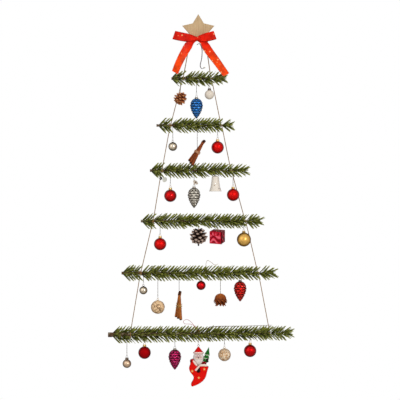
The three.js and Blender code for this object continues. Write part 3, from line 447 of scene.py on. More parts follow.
def joined(pieces):
    deselect_all()
    for piece in pieces:
        piece.select_set(True)
    bpy.context.view_layer.objects.active = pieces[0]
    bpy.ops.object.join()
    return bpy.context.object


def smooth(piece, degrees=40):
    only(piece)
    bpy.ops.object.shade_smooth_by_angle(angle=math.radians(degrees))
    return piece


def painted(piece, finish):
    piece.data.materials.clear()
    piece.data.materials.append(finish)
    return piece


def line_tube(points, radius, sides, closed=False, radii=None):
    """A tube along a line of points, made as a curve with a round bevel and turned into a mesh."""
    deselect_all()
    curve = bpy.data.curves.new("line", "CURVE")
    curve.dimensions = "3D"
    curve.bevel_depth = radius
    curve.bevel_resolution = max(0, sides // 2 - 2)
    curve.use_fill_caps = not closed
    spline = curve.splines.new("POLY")
    spline.points.add(len(points) - 1)
    for index, point in enumerate(points):
        spline.points[index].co = (*point, 1)
        if radii is not None:
            spline.points[index].radius = radii[index]
    spline.use_cyclic_u = closed
    piece = bpy.data.objects.new("line", curve)
    bpy.context.collection.objects.link(piece)
    only(piece)
    bpy.ops.object.convert(target="MESH")
    edit(bpy.context.object)
    return done_editing()


def made(piece, name, body, *nodes, slot=None):
    """Names a finished piece, puts it on its body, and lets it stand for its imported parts."""
    piece.name = name
    piece.data.name = name
    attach(piece, body)
    if nodes:
        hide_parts(*nodes)
    print(name, "faces", len(piece.data.polygons))
    return piece

# %% [markdown]
# ## Where things hang
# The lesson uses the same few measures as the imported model: the height of each branch, the places
# where the cords cross it, and the bare twig's reach. Each ornament turns about the top of its
# thread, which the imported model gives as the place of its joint.

# %% The ladder's measures
AXIS_HEIGHTS = [-0.154, -0.283, -0.407, -0.546, -0.689, -0.856]
CORD_LEFTS = [0.041, 0.075, 0.099, 0.123, 0.157, 0.186]
CORD_RIGHTS = [0.034, 0.062, 0.089, 0.128, 0.163, 0.196]
TWIG_LEFTS = [0.074, 0.115, 0.133, 0.158, 0.211, 0.248]
BUSH_RIGHTS = [0.076, 0.095, 0.137, 0.178, 0.214, 0.259]
BARE_LENGTHS = [0.003, 0.008, 0.005, 0.005, 0.005, 0.014]
BUTT_RADII = [0.004, 0.004, 0.0042, 0.0043, 0.0048, 0.0072]
TIP_RADIUS, CORD_RADIUS, TURN_PITCH = 0.0016, 0.0013, 0.0032
NEEDLE_REACH, LAST_TWIG_RISE, TURN_STEPS = 0.029, 0.005, 8
TIER_BODIES = ["top", "tier_2", "tier_3", "tier_4", "tier_5", "tier_6"]
hang_points = {joint["child"]: Vector(joint["pos_m"]) for joint in frame["joints"]}


def twig_tip(tier):
    return BUSH_RIGHTS[tier] - NEEDLE_REACH * math.sin(math.pi / 4)


def twig_share(tier, x):
    return (x + TWIG_LEFTS[tier]) / (twig_tip(tier) + TWIG_LEFTS[tier])


def twig_radius(tier, x):
    return BUTT_RADII[tier] + (TIP_RADIUS - BUTT_RADII[tier]) * twig_share(tier, x)


def twig_height(tier, x):
    return AXIS_HEIGHTS[tier] + (LAST_TWIG_RISE * (twig_share(tier, x) - 0.5) if tier == 5 else 0)


def turn_radius(tier, x):
    """Radius of the turn that a cord takes round a twig, with a little room."""
    return (twig_radius(tier, x) + 0.0003 + CORD_RADIUS) / math.cos(math.pi / TURN_STEPS)


def smooth_line(route, count, power=0.5):
    """Points along a Catmull-Rom curve through a route, spaced evenly along it."""
    route = [np.array(point, float) for point in route]
    full = [2 * route[0] - route[1], *route, 2 * route[-1] - route[-2]]
    points = []
    for p0, p1, p2, p3 in zip(full, full[1:], full[2:], full[3:]):
        t0, t1 = 0.0, np.linalg.norm(p1 - p0) ** power
        t2 = t1 + np.linalg.norm(p2 - p1) ** power
        t3 = t2 + np.linalg.norm(p3 - p2) ** power
        for t in np.linspace(t1, t2, 24, endpoint=False):
            a1 = (t1 - t) / (t1 - t0) * p0 + (t - t0) / (t1 - t0) * p1
            a2 = (t2 - t) / (t2 - t1) * p1 + (t - t1) / (t2 - t1) * p2
            a3 = (t3 - t) / (t3 - t2) * p2 + (t - t2) / (t3 - t2) * p3
            b1 = (t2 - t) / (t2 - t0) * a1 + (t - t0) / (t2 - t0) * a2
            b2 = (t3 - t) / (t3 - t1) * a2 + (t - t1) / (t3 - t1) * a3
            points.append((t2 - t) / (t2 - t1) * b1 + (t - t1) / (t2 - t1) * b2)
    return even_line([*points, route[-1]], count)


def even_line(points, count):
    points = np.array(points, float)
    runs = np.concatenate([[0], np.cumsum(np.linalg.norm(np.diff(points, axis=0), axis=1))])
    wanted = np.linspace(0, runs[-1], count)
    return np.stack([np.interp(wanted, runs, points[:, k]) for k in range(3)], axis=1)


def line_length(points):
    return float(np.linalg.norm(np.diff(np.array(points), axis=0), axis=1).sum())


print("cord crossings:", len(CORD_LEFTS) * 2)

# %% [markdown]
# ## The wooden star
# The star is cut from thin pale plywood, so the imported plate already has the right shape. It only
# needs its finish: long straight grain that runs up the star, small darker flecks, and the plies as
# thin bands on the cut edge. The bands read the depth of the plate, so they stay on the edges.

# %% Star finish
star_wood, tree, shader, place = new_finish("star_wood", 0.62)
grain = fibred(tree, place, (1.0, 1.0, 0.06), 420.0, srgb(208, 180, 140), srgb(188, 156, 116))
tinted = patchy(tree, place, grain["Colour"], 24.0, 0.28)
plies = worked_out(tree, "SINE", worked_out(tree, "MULTIPLY", axis_of(tree, place, "Y"), 5200.0))
facing = node(tree, "ShaderNodeNewGeometry").outputs["Normal"]
on_edge = between(tree, worked_out(tree, "ABSOLUTE", axis_of(tree, facing, "Y")), 0.75, 0.5)
band = worked_out(tree, "MULTIPLY", on_edge, between(tree, plies, 0.1, 0.6))
cut_colour = mixed(tree, worked_out(tree, "MULTIPLY", on_edge, 0.55), tinted["Colour"], srgb(150, 112, 74))
fill(tree, shader, {"Base Color": mixed(tree, band, cut_colour, srgb(196, 166, 124)),
                    "Normal": bumps(tree, 0.25, 0.0004, grain["Height"])})
painted(frame["nodes"]["star"], star_wood)
print("star finish on the packed plate")

# %% [markdown]
# ## The ribbon bow
# The bow is one satin ribbon about 23 mm wide. Its loops fall open to the sides, its two tails hang
# over the first branch, and all of it gathers in a small tight knot. Cloth this narrow keeps its
# folds, so the strip is laid out along a line with its own width at each step, then given a
# thickness and smoothed. The tails have long soft waves and slanting cut ends.

# %% Ribbon strip helper


def ribbon_strip(line, across, thickness=0.0007, cuts=6, ripple=None):
    """A strip along a line, with a half-width vector at each step, given a thickness."""
    last, row = len(line) - 1, cuts + 1
    corners = []
    for index, (point, half) in enumerate(zip(line, across)):
        for share in (2 * cut / cuts - 1 for cut in range(row)):
            corner = Vector(point) + Vector(half) * share
            corners.append(corner + ripple(index / last, share) if ripple else corner)
    starts = [index * row + cut for index in range(last) for cut in range(cuts)]
    piece = new_piece("strip", corners, [(here, here + 1, here + row + 1, here + row) for here in starts])
    layer = piece.data.uv_layers.new(name="weave")
    for loop in piece.data.loops:
        layer.data[loop.index].uv = ((loop.vertex_index % row) / cuts, (loop.vertex_index // row) / last)
    with_modifier(piece, "SOLIDIFY", thickness=thickness, offset=0)
    with_modifier(piece, "SUBSURF", levels=1, render_levels=1)
    return smooth(piece, 60)


# %% Ribbon finish
ribbon_red, tree, shader, place = new_finish("ribbon_red", 0.42, Specular_IOR_Level=0.1)
across_uv = axis_of(tree, node(tree, "ShaderNodeUVMap", uv_map="weave").outputs[0], "X")
threads = node(tree, "ShaderNodeTexWave", {"Vector": place, "Scale": 620.0, "Distortion": 1.2, "Detail": 2.0},
               bands_direction="DIAGONAL")
# The tails are painted lighter than the loops: painted light that shines through the thin ribbon.
lower = between(tree, axis_of(tree, place, "Z"), -0.062, -0.105)
tails_lit_through = mixed(tree, lower, srgb(226, 26, 0), srgb(246, 70, 6))
shine = patchy(tree, place, tails_lit_through, 70.0, 0.7)
edge_share = worked_out(tree, "ABSOLUTE", worked_out(tree, "SUBTRACT", across_uv, 0.5))
rimmed = mixed(tree, between(tree, edge_share, 0.45, 0.49), shine["Colour"], srgb(160, 18, 0))
# Small pale specks are painted glints.
glint_cells = node(tree, "ShaderNodeTexVoronoi", {"Vector": place, "Scale": 92.0}).outputs
chosen = node(tree, "ShaderNodeSeparateColor", {"Color": glint_cells["Color"]}).outputs["Red"]
painted_glint = worked_out(tree, "MULTIPLY", between(tree, glint_cells["Distance"], 0.24, 0.12), between(tree, chosen, 0.4, 0.5))
fill(tree, shader, {"Base Color": mixed(tree, painted_glint, rimmed, srgb(255, 178, 118)),
                    "Normal": bumps(tree, 0.2, 0.0002, threads.outputs["Fac"])})

# %% Bow pieces
KNOT = Vector((-0.004, -0.0129, -0.0458))
TAIL_WIDTH = 0.0182


def bow_loop(side, length):
    steps, line, across = 40, [], []
    for share in (step / steps for step in range(steps + 1)):
        swell = (1 - math.cos(2 * math.pi * share)) / 2
        depth = 0.0058 * math.sin(2 * math.pi * share) + 0.0009 * (1 - 2 * share)
        fold = 0.0012 * math.sin(6 * math.pi * share)
        rise = 0.0092 * swell ** 1.7
        line.append(KNOT + Vector((side * length * swell, depth - 0.005 * swell + fold, rise)))
        half = 0.0040 + 0.0072 * min(1, swell / 0.4) ** 0.8
        across.append((-side * 0.004 * swell, 0.0, half))

    def pleats(along, share):
        near_knot = abs(math.cos(math.pi * along)) ** 3
        return Vector((0, 0.0019 * math.cos(3 * math.pi * share) * near_knot, 0))

    return ribbon_strip(line, across, ripple=pleats)


def bow_tail(route, slant):
    line = smooth_line([tuple(KNOT), *route], 40)
    side = math.copysign(1, route[-1][0] - KNOT.x)
    across, last = [], len(line) - 1
    for step in range(len(line)):
        share = step / last
        along = Vector(line[min(step + 1, last)] - line[max(step - 1, 0)]).normalized()
        half = along.cross(Vector((0, side, 0))).normalized()
        gather = 0.5 + 2.9 * share if share < 0.27 else 1.28 - (share - 0.27) * 0.3
        cut = slant * TAIL_WIDTH / 2 * max(0, share - 0.85) / 0.15
        across.append(half * (gather * TAIL_WIDTH / 2) + along * cut)

    def waves(along, share):
        return Vector((0, 0.0012 * math.sin(7 * along + 2.2 * share) * min(1, 3 * along), 0))

    return ribbon_strip(line, across, ripple=waves)


def knot_folds(x, y, z):
    pleat = math.sin(z * 1500 + 2.5 * math.sin(x * 300)) * 0.0004
    pinch = 1 - 0.16 * math.exp(-((z / 0.0035) ** 2))
    return x * pinch, y * (1 + pleat / 0.006), z + pleat * 0.3


LEFT_TAIL = [(-0.019, -0.0155, -0.055), (-0.040, -0.021, -0.088), (-0.054, -0.024, -0.116),
             (-0.0635, -0.027, -0.1405)]
RIGHT_TAIL = [(0.012, -0.0155, -0.055), (0.027, -0.020, -0.078), (0.052, -0.024, -0.112),
              (0.0762, -0.028, -0.1468)]
loops = [bow_loop(-1, 0.063), bow_loop(1, 0.050)]
tails = [bow_tail(LEFT_TAIL, -0.15), bow_tail(RIGHT_TAIL, 0.15)]
bow = painted(joined([*loops, *tails]), ribbon_red)
knot = primitive("uv_sphere", turn=(math.pi / 2, 0, 0), segments=40, ring_count=24, radius=1)
knot = reshaped(placed(knot, size=(0.0070, 0.006, 0.0050)), knot_folds)
knot = smooth(placed(knot, tuple(KNOT)), 60)
knot.data.uv_layers[0].name = "weave"
painted(knot, ribbon_red)
made(knot, "bow_knot", "top", slot="ribbon")
made(bow, "bow_ribbon", "top", "ribbon_bow", slot="ribbon")

# %% [markdown]
# ## Jute cords
# The cords are twine of three yarns twisted together, 2.6 mm thick. Each cord gets a middle line at
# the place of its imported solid, and three thin tubes wind round that line. One end goes round each
# branch in a turn, which is a separate piece on the cord. The cord over the nail runs from one end
# of the first branch to the other, and the rest hang straight between two branches.

# %% Twine finish


def twine_finish(name, light, dark, scale=1400.0, roughness=0.95):
    finish, tree, shader, place = new_finish(name, roughness, Sheen_Weight=0.1)
    hairs = fibred(tree, place, (1.0, 1.0, 0.35), scale, light, dark)
    worn = patchy(tree, place, hairs["Colour"], 55.0, 0.3)
    fill(tree, shader, {"Base Color": worn["Colour"], "Normal": bumps(tree, 0.6, 0.0003, hairs["Height"])})
    return finish


jute = twine_finish("jute", srgb(184, 144, 88), srgb(104, 70, 34))

# %% Twisted cord helper


def frames_along(points):
    """Two directions square to the line at each point, carried along without a twist."""
    tangents = np.gradient(points, axis=0)
    tangents /= np.linalg.norm(tangents, axis=1)[:, None]
    start = np.array((0, 1, 0.0)) if abs(tangents[0][1]) < 0.9 else np.array((1, 0, 0.0))
    first = start - tangents[0] * start.dot(tangents[0])
    rows = []
    for tangent in tangents:
        first = first - tangent * first.dot(tangent)
        first /= np.linalg.norm(first)
        rows.append((first.copy(), np.cross(tangent, first)))
    return rows


def twisted(points, radius, yarns=3, pitch=0.0085, per_turn=9, sides=6):
    """Yarns wound round a line. The whole is as thick as the cord."""
    length = line_length(points)
    dense = even_line(points, max(8, int(length / pitch * per_turn)))
    yarn = radius * (0.58 if yarns == 3 else 0.56)
    away = radius - yarn
    rows = frames_along(dense)
    tubes = []
    for index in range(yarns):
        start = 2 * math.pi * index / yarns
        wound = []
        for step, (point, (first, second)) in enumerate(zip(dense, rows)):
            angle = start + 2 * math.pi * (length * step / (len(dense) - 1)) / pitch
            wound.append(point + away * (math.cos(angle) * first + math.sin(angle) * second))
        tubes.append(line_tube(wound, yarn, sides))
    return smooth(joined(tubes), 70)


# %% The cord over the nail
HANG_LEFT = [(-0.031, 0, -0.096), (-0.0217, 0, -0.043), (-0.0155, 0, -0.017), (-0.008, 0, -0.0025)]
HANG_RIGHT = [(0.008, 0, -0.0025), (0.014, 0, -0.017), (0.0185, 0, -0.043), (0.0265, 0, -0.096)]
low_end = AXIS_HEIGHTS[0] + turn_radius(0, 0)
over_nail = smooth_line([(-CORD_LEFTS[0], 0, low_end), *HANG_LEFT, (0, 0, CORD_RADIUS), *HANG_RIGHT,
                         (CORD_RIGHTS[0], 0, low_end)], 60)


def cord_turn(tier, x):
    """The turn that a cord takes round a branch. It lies flat, so that neighbours can turn past it."""
    radius = turn_radius(tier, x) - 0.0002
    height = twig_height(tier, x)
    ring = [(x, radius * math.sin(angle), height + radius * math.cos(angle)) for angle in [*around(32), 2 * math.pi]]
    return twisted(ring, CORD_RADIUS)


def cord_turns(name, body, *places):
    turns = painted(joined([cord_turn(tier, x) for tier, x in places]), jute)
    return made(turns, name + "_turns", body, slot="jute")


turns = cord_turns("hanging_cord", "top", (0, -CORD_LEFTS[0]), (0, CORD_RIGHTS[0]))
nail_cord = painted(twisted(over_nail, CORD_RADIUS), jute)
made(nail_cord, "hanging_cord_twine", "top", "hanging_cord", slot="jute")

# %% The side cords
for tier in range(1, 6):
    body = TIER_BODIES[tier]
    for word, side, places in (("left", -1, CORD_LEFTS), ("right", 1, CORD_RIGHTS)):
        upper_x = side * (places[tier - 1] + TURN_PITCH)
        lower_x = side * places[tier]
        top = (upper_x, 0, AXIS_HEIGHTS[tier - 1] - turn_radius(tier - 1, upper_x))
        low = (lower_x, 0, twig_height(tier, lower_x) + turn_radius(tier, lower_x))
        run = even_line([top, low], 40)
        cord_name = f"side_cord_{word}_{tier + 1}"
        turns = cord_turns(cord_name, body, (tier - 1, upper_x), (tier, lower_x))
        cord = painted(twisted(run, CORD_RADIUS - 0.00012), jute)
        made(cord, cord_name + "_twine", body, cord_name, slot="jute")

# %% [markdown]
# ## Loose threads
# A thin dark string hangs from the bow, with a pale knotted end. A gold thread stands up in a curl
# above the fifth branch, and a red and white cord makes a flat loop above the last one. A dark knot
# with a small pale leaf sits under the left end of the third branch.

# %% Loose threads
dark_string = twine_finish("dark_string", srgb(84, 26, 40), srgb(44, 10, 22), 2200.0)
gold_thread = twine_finish("gold_thread", srgb(186, 150, 78), srgb(104, 74, 24), 2200.0, 0.6)
red_thread = twine_finish("red_thread", srgb(206, 30, 18), srgb(132, 12, 8), 2200.0, 0.8)
pale_thread = twine_finish("pale_thread", srgb(222, 216, 202), srgb(170, 160, 144), 2200.0, 0.85)
THREAD_RADIUS = 0.0006
FLAT_ROOM = 0.001


def thread_along(line, finish):
    return painted(twisted(line, THREAD_RADIUS, pitch=0.0042, per_turn=8, sides=5), finish)


def loose_thread(name, route, body, node_name, finish, slot):
    line = smooth_line(route, 48)
    thread = thread_along(line, finish)
    made(thread, name, body, node_name, slot=slot)


def raised(route, height):
    return [(x, y, z + height) for x, y, z in route]


def twig_flat(tier, x):
    return twig_radius(tier, x) * math.cos(math.pi / 6)


# %% The string from the bow
STRING_ROUTE = [(-0.004, -0.0096, -0.06266), (0.002, -0.0098, -0.059), (0.009, -0.010, -0.072),
                (0.009, -0.010, -0.098), (0.005, -0.009, -0.122), (0.010, -0.009, -0.128), (0.0165, -0.009, -0.125)]
string_end = primitive("ico_sphere", STRING_ROUTE[-1], scale=(1.3, 0.8, 0.9), subdivisions=3, radius=0.0022)
painted(smooth(string_end), pale_thread)
made(string_end, "centre_string_knot", "top", slot="dark_string")
string_line = smooth_line([(x + 0.0011, y - 0.0006, z) for x, y, z in STRING_ROUTE], 48)
second_strand = thread_along(string_line, dark_string)
made(second_strand, "centre_string_red", "top", slot="dark_string")
loose_thread("centre_string_thread", STRING_ROUTE, "top", "centre_string", dark_string, "dark_string")

# %% Curl, loop and leaf
curl_foot = twig_flat(4, 0.020) + FLAT_ROOM
CURL_ROUTE = [(0.020, 0, curl_foot), (0.021, -0.002, 0.015), (0.0212, -0.004, 0.026), (0.025, -0.005, 0.035),
              (0.034, -0.005, 0.031), (0.045, -0.005, 0.023), (0.054, -0.005, 0.025)]
loose_thread("gold_curl_thread", raised(CURL_ROUTE, AXIS_HEIGHTS[4]), "tier_5", "gold_thread_curl",
             gold_thread, "gold_thread")
loop_foot = twig_flat(5, 0) + twig_height(5, 0) - AXIS_HEIGHTS[5] + FLAT_ROOM
LOOP_ROUTE = [(-0.004, 0, loop_foot), (-0.007, -0.002, 0.0155), (-0.021, -0.004, 0.034), (-0.032, -0.004, 0.040),
              (-0.041, -0.004, 0.035), (-0.038, -0.004, 0.0285), (-0.020, -0.004, 0.0265), (-0.001, -0.002, 0.014),
              (0.001, 0, loop_foot)]
loose_thread("figure_loop_thread", raised(LOOP_ROUTE, AXIS_HEIGHTS[5]), "tier_6", "figure_cord_loop",
             red_thread, "figure_cord")

leaf_knot = primitive("torus", turn=(math.pi / 2, 0, 0.3), scale=(1, 1, 1.2),
                      major_segments=24, minor_segments=10, major_radius=0.0026, minor_radius=0.0017)
leaf = spun([(0, 0), (0.004, 0.0001), (0.0062, 0.0008), (0.007, 0.0018), (0.0061, 0.0013), (0.004, 0.0006),
             (0, 0.0005)], 32)
reshaped(leaf, lambda x, y, z: (x * 0.86, y * (1 + 8 * abs(y) * (y > 0)), z + 14 * x * y))
leaf = placed(leaf, (0.0105, 0.0, -0.004), turn=(math.pi / 2, math.radians(28), 0))
knot_dark = twine_finish("knot_dark", srgb(48, 38, 34), srgb(16, 12, 10), 2200.0)
leaf_pale = twine_finish("leaf_pale", srgb(214, 214, 204), srgb(186, 184, 172), 500.0, 0.6)
trimming = joined([painted(smooth(leaf_knot), knot_dark), painted(smooth(leaf, 60), leaf_pale)])
made(placed(trimming, (-0.1026, -0.0085, -0.4285)), "leaf_on_cord", TIER_BODIES[2], slot="jute")

# %% [markdown]
# ## Fir branches
# Each branch is one straight twig with flat needles all round it. The long ones stand in rows, so
# that their tips show as single points, and shorter ones fill the gaps near the twig. They lean
# towards the tip at about 45 degrees, most of them up or down, and those towards the wall are short.
# One needle is modelled, and copies of its mesh are laid out along the twigs. Needles give
# way to cords, threads and ornaments, also where these swing and where the tiers fold, so each
# needle is tested against the imported solids in a few positions and left out where it would touch.

# %% One needle
needle = primitive("circle", vertices=4, radius=1, fill_type="NGON")
edit(needle)
bpy.ops.transform.resize(value=(0.3, 1, 1))
for rise, growth in ((0.1, 1.7), (0.35, 1.15), (0.35, 0.86), (0.15, 0.75), (0.05, 0.3)):
    bpy.ops.mesh.extrude_region_move(TRANSFORM_OT_translate={"value": (0, 0, rise)})
    bpy.ops.transform.resize(value=(growth, growth, 1))
bpy.ops.object.mode_set(mode="OBJECT")
needle_corners = np.array([vertex.co[:] for vertex in needle.data.vertices])
needle_corners[:, :2] /= np.abs(needle_corners[:, 1]).max()
needle_faces = [list(face.vertices) for face in needle.data.polygons]
base_ring = [index for index, corner in enumerate(needle_corners) if corner[2] < 0.001]
if not any(set(base_ring) == set(face) for face in needle_faces):
    needle_faces.append(sorted(base_ring, key=lambda i: -math.atan2(needle_corners[i][1], needle_corners[i][0])))
print("one needle:", len(needle_faces), "faces")
bpy.data.objects.remove(needle)

# %% What the needles keep clear of
solid_trees = {}


def solid_tree(name):
    if name not in solid_trees:
        mesh = frame["nodes"][name].data
        tree = BVHTree.FromPolygons([v.co for v in mesh.vertices], [p.vertices for p in mesh.polygons])
        low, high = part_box(name)
        solid_trees[name] = (tree, np.array(low), np.array(high))
    return solid_trees[name]


def turned_about(pivot, degrees, axis):
    move = Matrix.Translation(pivot)
    return move @ Matrix.Rotation(math.radians(degrees), 4, axis) @ move.inverted()


swing_ranges = {joint["child"]: joint["range_deg"] for joint in frame["joints"]}
tier_of = {joint["child"]: TIER_BODIES.index(joint["parent"]) for joint in frame["joints"]
           if joint["name"].startswith("swing")}
print("swinging ornaments:", len(tier_of))


def obstacles(tier):
    """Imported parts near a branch, each with the positions that it can take as the branch sees it."""
    found = []
    still = [Matrix.Identity(4)]
    for name in nodes_of[TIER_BODIES[tier]]:
        if not name.startswith("branch") and name != "star":
            found.append((name, still))
    if tier < 5:
        folds = [turned_about((0, 0, AXIS_HEIGHTS[tier]), angle, "X") for angle in range(0, 46, 5)]
        found += [(f"side_cord_{word}_{tier + 2}", folds) for word in ("left", "right")]
    for body, home in tier_of.items():
        swings = [turned_about(hang_points[body], angle, "Y") for angle in np.linspace(*swing_ranges[body], 7)]
        positions = swings + still
        if home == tier - 1:
            folds = [turned_about((0, 0, AXIS_HEIGHTS[home]), -angle, "X") for angle in FOLDS_TRIED]
            positions = [fold @ swing for fold in folds for swing in (swings[0], swings[3], swings[-1], still[0])]
        if home in (tier, tier - 1):
            found += [(name, positions) for name in nodes_of[body]]
    return found


NEEDLE_ROOM = 0.0012
WIDER_ROOM = {"frosted_pine_cone": 0.005, "red_glitter_cone": 0.0036, "magenta_glitter_cone": 0.0024,
              "side_cord_left_2": 0.0026, "gold_ball_hanger": 0.0024, "white_bell": 0.0034,
              "silver_cone": 0.0024, "small_red_ball": 0.0026, "red_ball_2_hanger": 0.0024}
FOLDS_TRIED = (0, 3, 6, 10, 15, 22, 30, 45)


def clear_of_all(lines, tier):
    """True for each needle whose points stay clear of every obstacle in every position."""
    clear = np.ones(len(lines), bool)
    for name, positions in obstacles(tier):
        distance = WIDER_ROOM.get(name, NEEDLE_ROOM)
        tree, low, high = solid_tree(name)
        for position in positions:
            back = np.array(position.inverted())
            moved = lines @ back[:3, :3].T + back[:3, 3]
            near = np.all((moved > low - distance) & (moved < high + distance), axis=2)
            near &= clear[:, None]
            for needle_index, point_index in np.argwhere(near):
                if clear[needle_index] and tree.find_nearest(Vector(moved[needle_index, point_index]), distance)[0]:
                    clear[needle_index] = False
    return clear


# %% Needle finish
fir_green, tree, shader, place = new_finish("fir_green", 0.45, Specular_IOR_Level=0.2)
tone, run = value_of(tree, "tone"), value_of(tree, "run")
deep = mixed(tree, tone, srgb(32, 44, 8), srgb(120, 128, 44))
# Near the twig the needles are painted darker, as painted shade inside the branch, and towards their tips lighter, as
# a painted highlight on the outside.
root = mixed(tree, between(tree, run, 0.4, 0.0), deep, srgb(48, 40, 18))
tip_highlight_share = worked_out(tree, "MULTIPLY", between(tree, run, 0.55, 1.0), 0.62)
mottled = patchy(tree, place, mixed(tree, tip_highlight_share, root, srgb(178, 178, 88)), 190.0, 0.35)
fill(tree, shader, {"Base Color": mottled["Colour"]})

# %% Needles laid out along a twig
NEEDLE_LENGTH, NEEDLE_HALF_WIDTH = 0.0285, 0.00122
ROW_PITCH, PER_ROW = 0.0086, 42
ALONG = np.array([1.0, 0, 0])
luck = np.random.default_rng(36)


def needle_lines(tier, x, angle, length, lean, bend):
    """The foot and the two ways of each needle, and six points along it."""
    out = np.stack([np.zeros(len(x)), -np.sin(angle), np.cos(angle)], axis=1)
    way = np.cos(lean)[:, None] * ALONG + np.sin(lean)[:, None] * out
    radius = np.array([twig_radius(tier, value) for value in x])
    height = np.array([twig_height(tier, value) for value in x])
    foot = np.stack([x, np.zeros(len(x)), height], axis=1) + out * (radius * 0.7)[:, None]
    shares = np.array([0.15, 0.35, 0.55, 0.75, 0.9, 1.0])
    lines = foot[:, None] + way[:, None] * (shares[None, :, None] * length[:, None, None])
    lines += ALONG * (bend[:, None] * shares[None, :] ** 2)[:, :, None]
    return foot, way, out, lines


def needle_lengths(angle):
    """Needles towards the wall are the shortest, and those towards the room are shorter too."""
    back, front = np.clip(-np.sin(angle), 0, 1), np.clip(np.sin(angle), 0, 1)
    return NEEDLE_LENGTH * luck.uniform(0.86, 1.0, len(angle)) * (1 - 0.45 * back - 0.25 * front)


def needle_mesh(tier):
    start = -TWIG_LEFTS[tier] + BARE_LENGTHS[tier]
    end = twig_tip(tier) + 0.001
    rows = np.linspace(start, end, int((end - start) / ROW_PITCH) + 1)
    count = len(rows) * PER_ROW
    x = np.repeat(rows + luck.normal(0, 0.0006, len(rows)), PER_ROW) + luck.normal(0, 0.0004, count)
    row_lean = np.repeat(luck.normal(0, 1.6, len(rows)), PER_ROW)
    filling = luck.uniform(0, 1, count) < 0.38
    x = np.where(filling, x + luck.uniform(0, ROW_PITCH, count), x)
    side = luck.choice([0.0, 180.0, 90.0, 270.0], count, p=[0.36, 0.36, 0.18, 0.10])
    spread = np.where((side == 0) | (side == 180), 19.0, 26.0)
    angle = np.radians(side + luck.normal(0, 1, count) * spread)
    near_tip = np.clip((x - end + 0.018) / 0.018, 0, 1)
    lean = np.radians(luck.normal(46, 1.5, count) + row_lean - 20 * near_tip)
    length = needle_lengths(angle) * np.where(filling, luck.uniform(0.5, 0.84, count), 1.0)
    bend = luck.uniform(0.0, 0.06, count) * length
    kept = np.zeros(count, bool)
    for turn in (0, 14, -14, 28, -28, 44, -44):
        tried = np.where(kept, angle, angle + math.radians(turn))
        lines = needle_lines(tier, x, tried, length, lean, bend)[3]
        fits = np.zeros(count, bool)
        fits[~kept] = clear_of_all(lines[~kept], tier)
        angle = np.where(fits, tried, angle)
        kept |= fits
    foot, way, out, _ = needle_lines(tier, x, angle, length, lean, bend)
    roll = luck.uniform(0.35, 1.45, count) * luck.choice([-1, 1], count)
    flat = np.cross(way, out)
    flat /= np.linalg.norm(flat, axis=1)[:, None]
    across = flat * np.cos(roll)[:, None] + np.cross(flat, way) * np.sin(roll)[:, None]
    over = np.cross(across, way)
    half_width = (NEEDLE_HALF_WIDTH * luck.uniform(0.85, 1.12, count))[:, None, None]
    run_up = needle_corners[:, 2]
    corners = foot[:, None] + way[:, None] * (run_up[None, :, None] * length[:, None, None])
    corners += across[:, None] * (needle_corners[None, :, 1, None] * half_width)
    corners += over[:, None] * (needle_corners[None, :, 0, None] * half_width)
    corners += ALONG * (bend[:, None] * run_up[None, :] ** 2)[:, :, None]
    number, tones = int(kept.sum()), luck.beta(1.8, 1.8, count)[kept]
    print("tier", tier + 1, "needles", number, "of", count)
    return copies_of(corners[kept].reshape(-1, 3), needle_faces, number,
                     tone=np.repeat(tones, len(needle_corners)), run=np.tile(run_up, number))


# %% Bark finish
bark, tree, shader, place = new_finish("fir_bark", 0.85)
ridges = fibred(tree, place, (0.35, 1.0, 1.0), 700.0, srgb(122, 96, 70), srgb(58, 42, 30))
lichen = patchy(tree, place, ridges["Colour"], 110.0, 0.6)
grey = mixed(tree, between(tree, lichen["Mask"], 0.6, 0.9), lichen["Colour"], srgb(146, 136, 118))
fill(tree, shader, {"Base Color": grey, "Normal": bumps(tree, 0.7, 0.0006, ridges["Height"])})
end_grain, tree, shader, place = new_finish("cut_wood", 0.8)
rings = node(tree, "ShaderNodeTexNoise", {"Vector": place, "Scale": 900.0, "Detail": 4.0})
ringed = between(tree, rings.outputs["Fac"], 0.35, 0.65)
fill(tree, shader, {"Base Color": mixed(tree, ringed, srgb(196, 164, 120), srgb(150, 116, 78))})

# %% Twigs


def twig(tier):
    """A tapering stick with scars and bumps, and a cut end that shows its wood."""
    start, tip = -TWIG_LEFTS[tier], twig_tip(tier)
    length = tip + 0.004 - start
    steps = int(length / 0.0022)
    profile = [(0, 0)]
    for step in range(steps + 1):
        share = step / steps
        knob = 0.00022 * math.sin(step * 2.1) + 0.00018 * math.sin(step * 0.83 + tier)
        point = 1 - 0.5 * max(0, share - 0.985) / 0.015
        radius = twig_radius(tier, min(start + length * share, tip)) * point - 0.0006 + knob
        profile.append((max(0.0006, radius), length * share))
    profile.append((0, length))

    def bulging(x, y, z):
        bulge = 1 + 0.05 * math.sin(5 * math.atan2(y, x) + z * 260)
        return x * bulge, y * bulge, z

    stick = placed(reshaped(spun(profile, 14), bulging), (start, 0, 0), turn=(0, math.pi / 2, 0))
    reshaped(stick, lambda x, y, z: (x, y, z + twig_height(tier, x)))
    painted(stick, bark)
    stick.data.materials.append(end_grain)
    for face in stick.data.polygons:
        face.material_index = int(face.center.x < start + 0.0002 and face.normal.x < -0.8)
    return smooth(stick, 50)


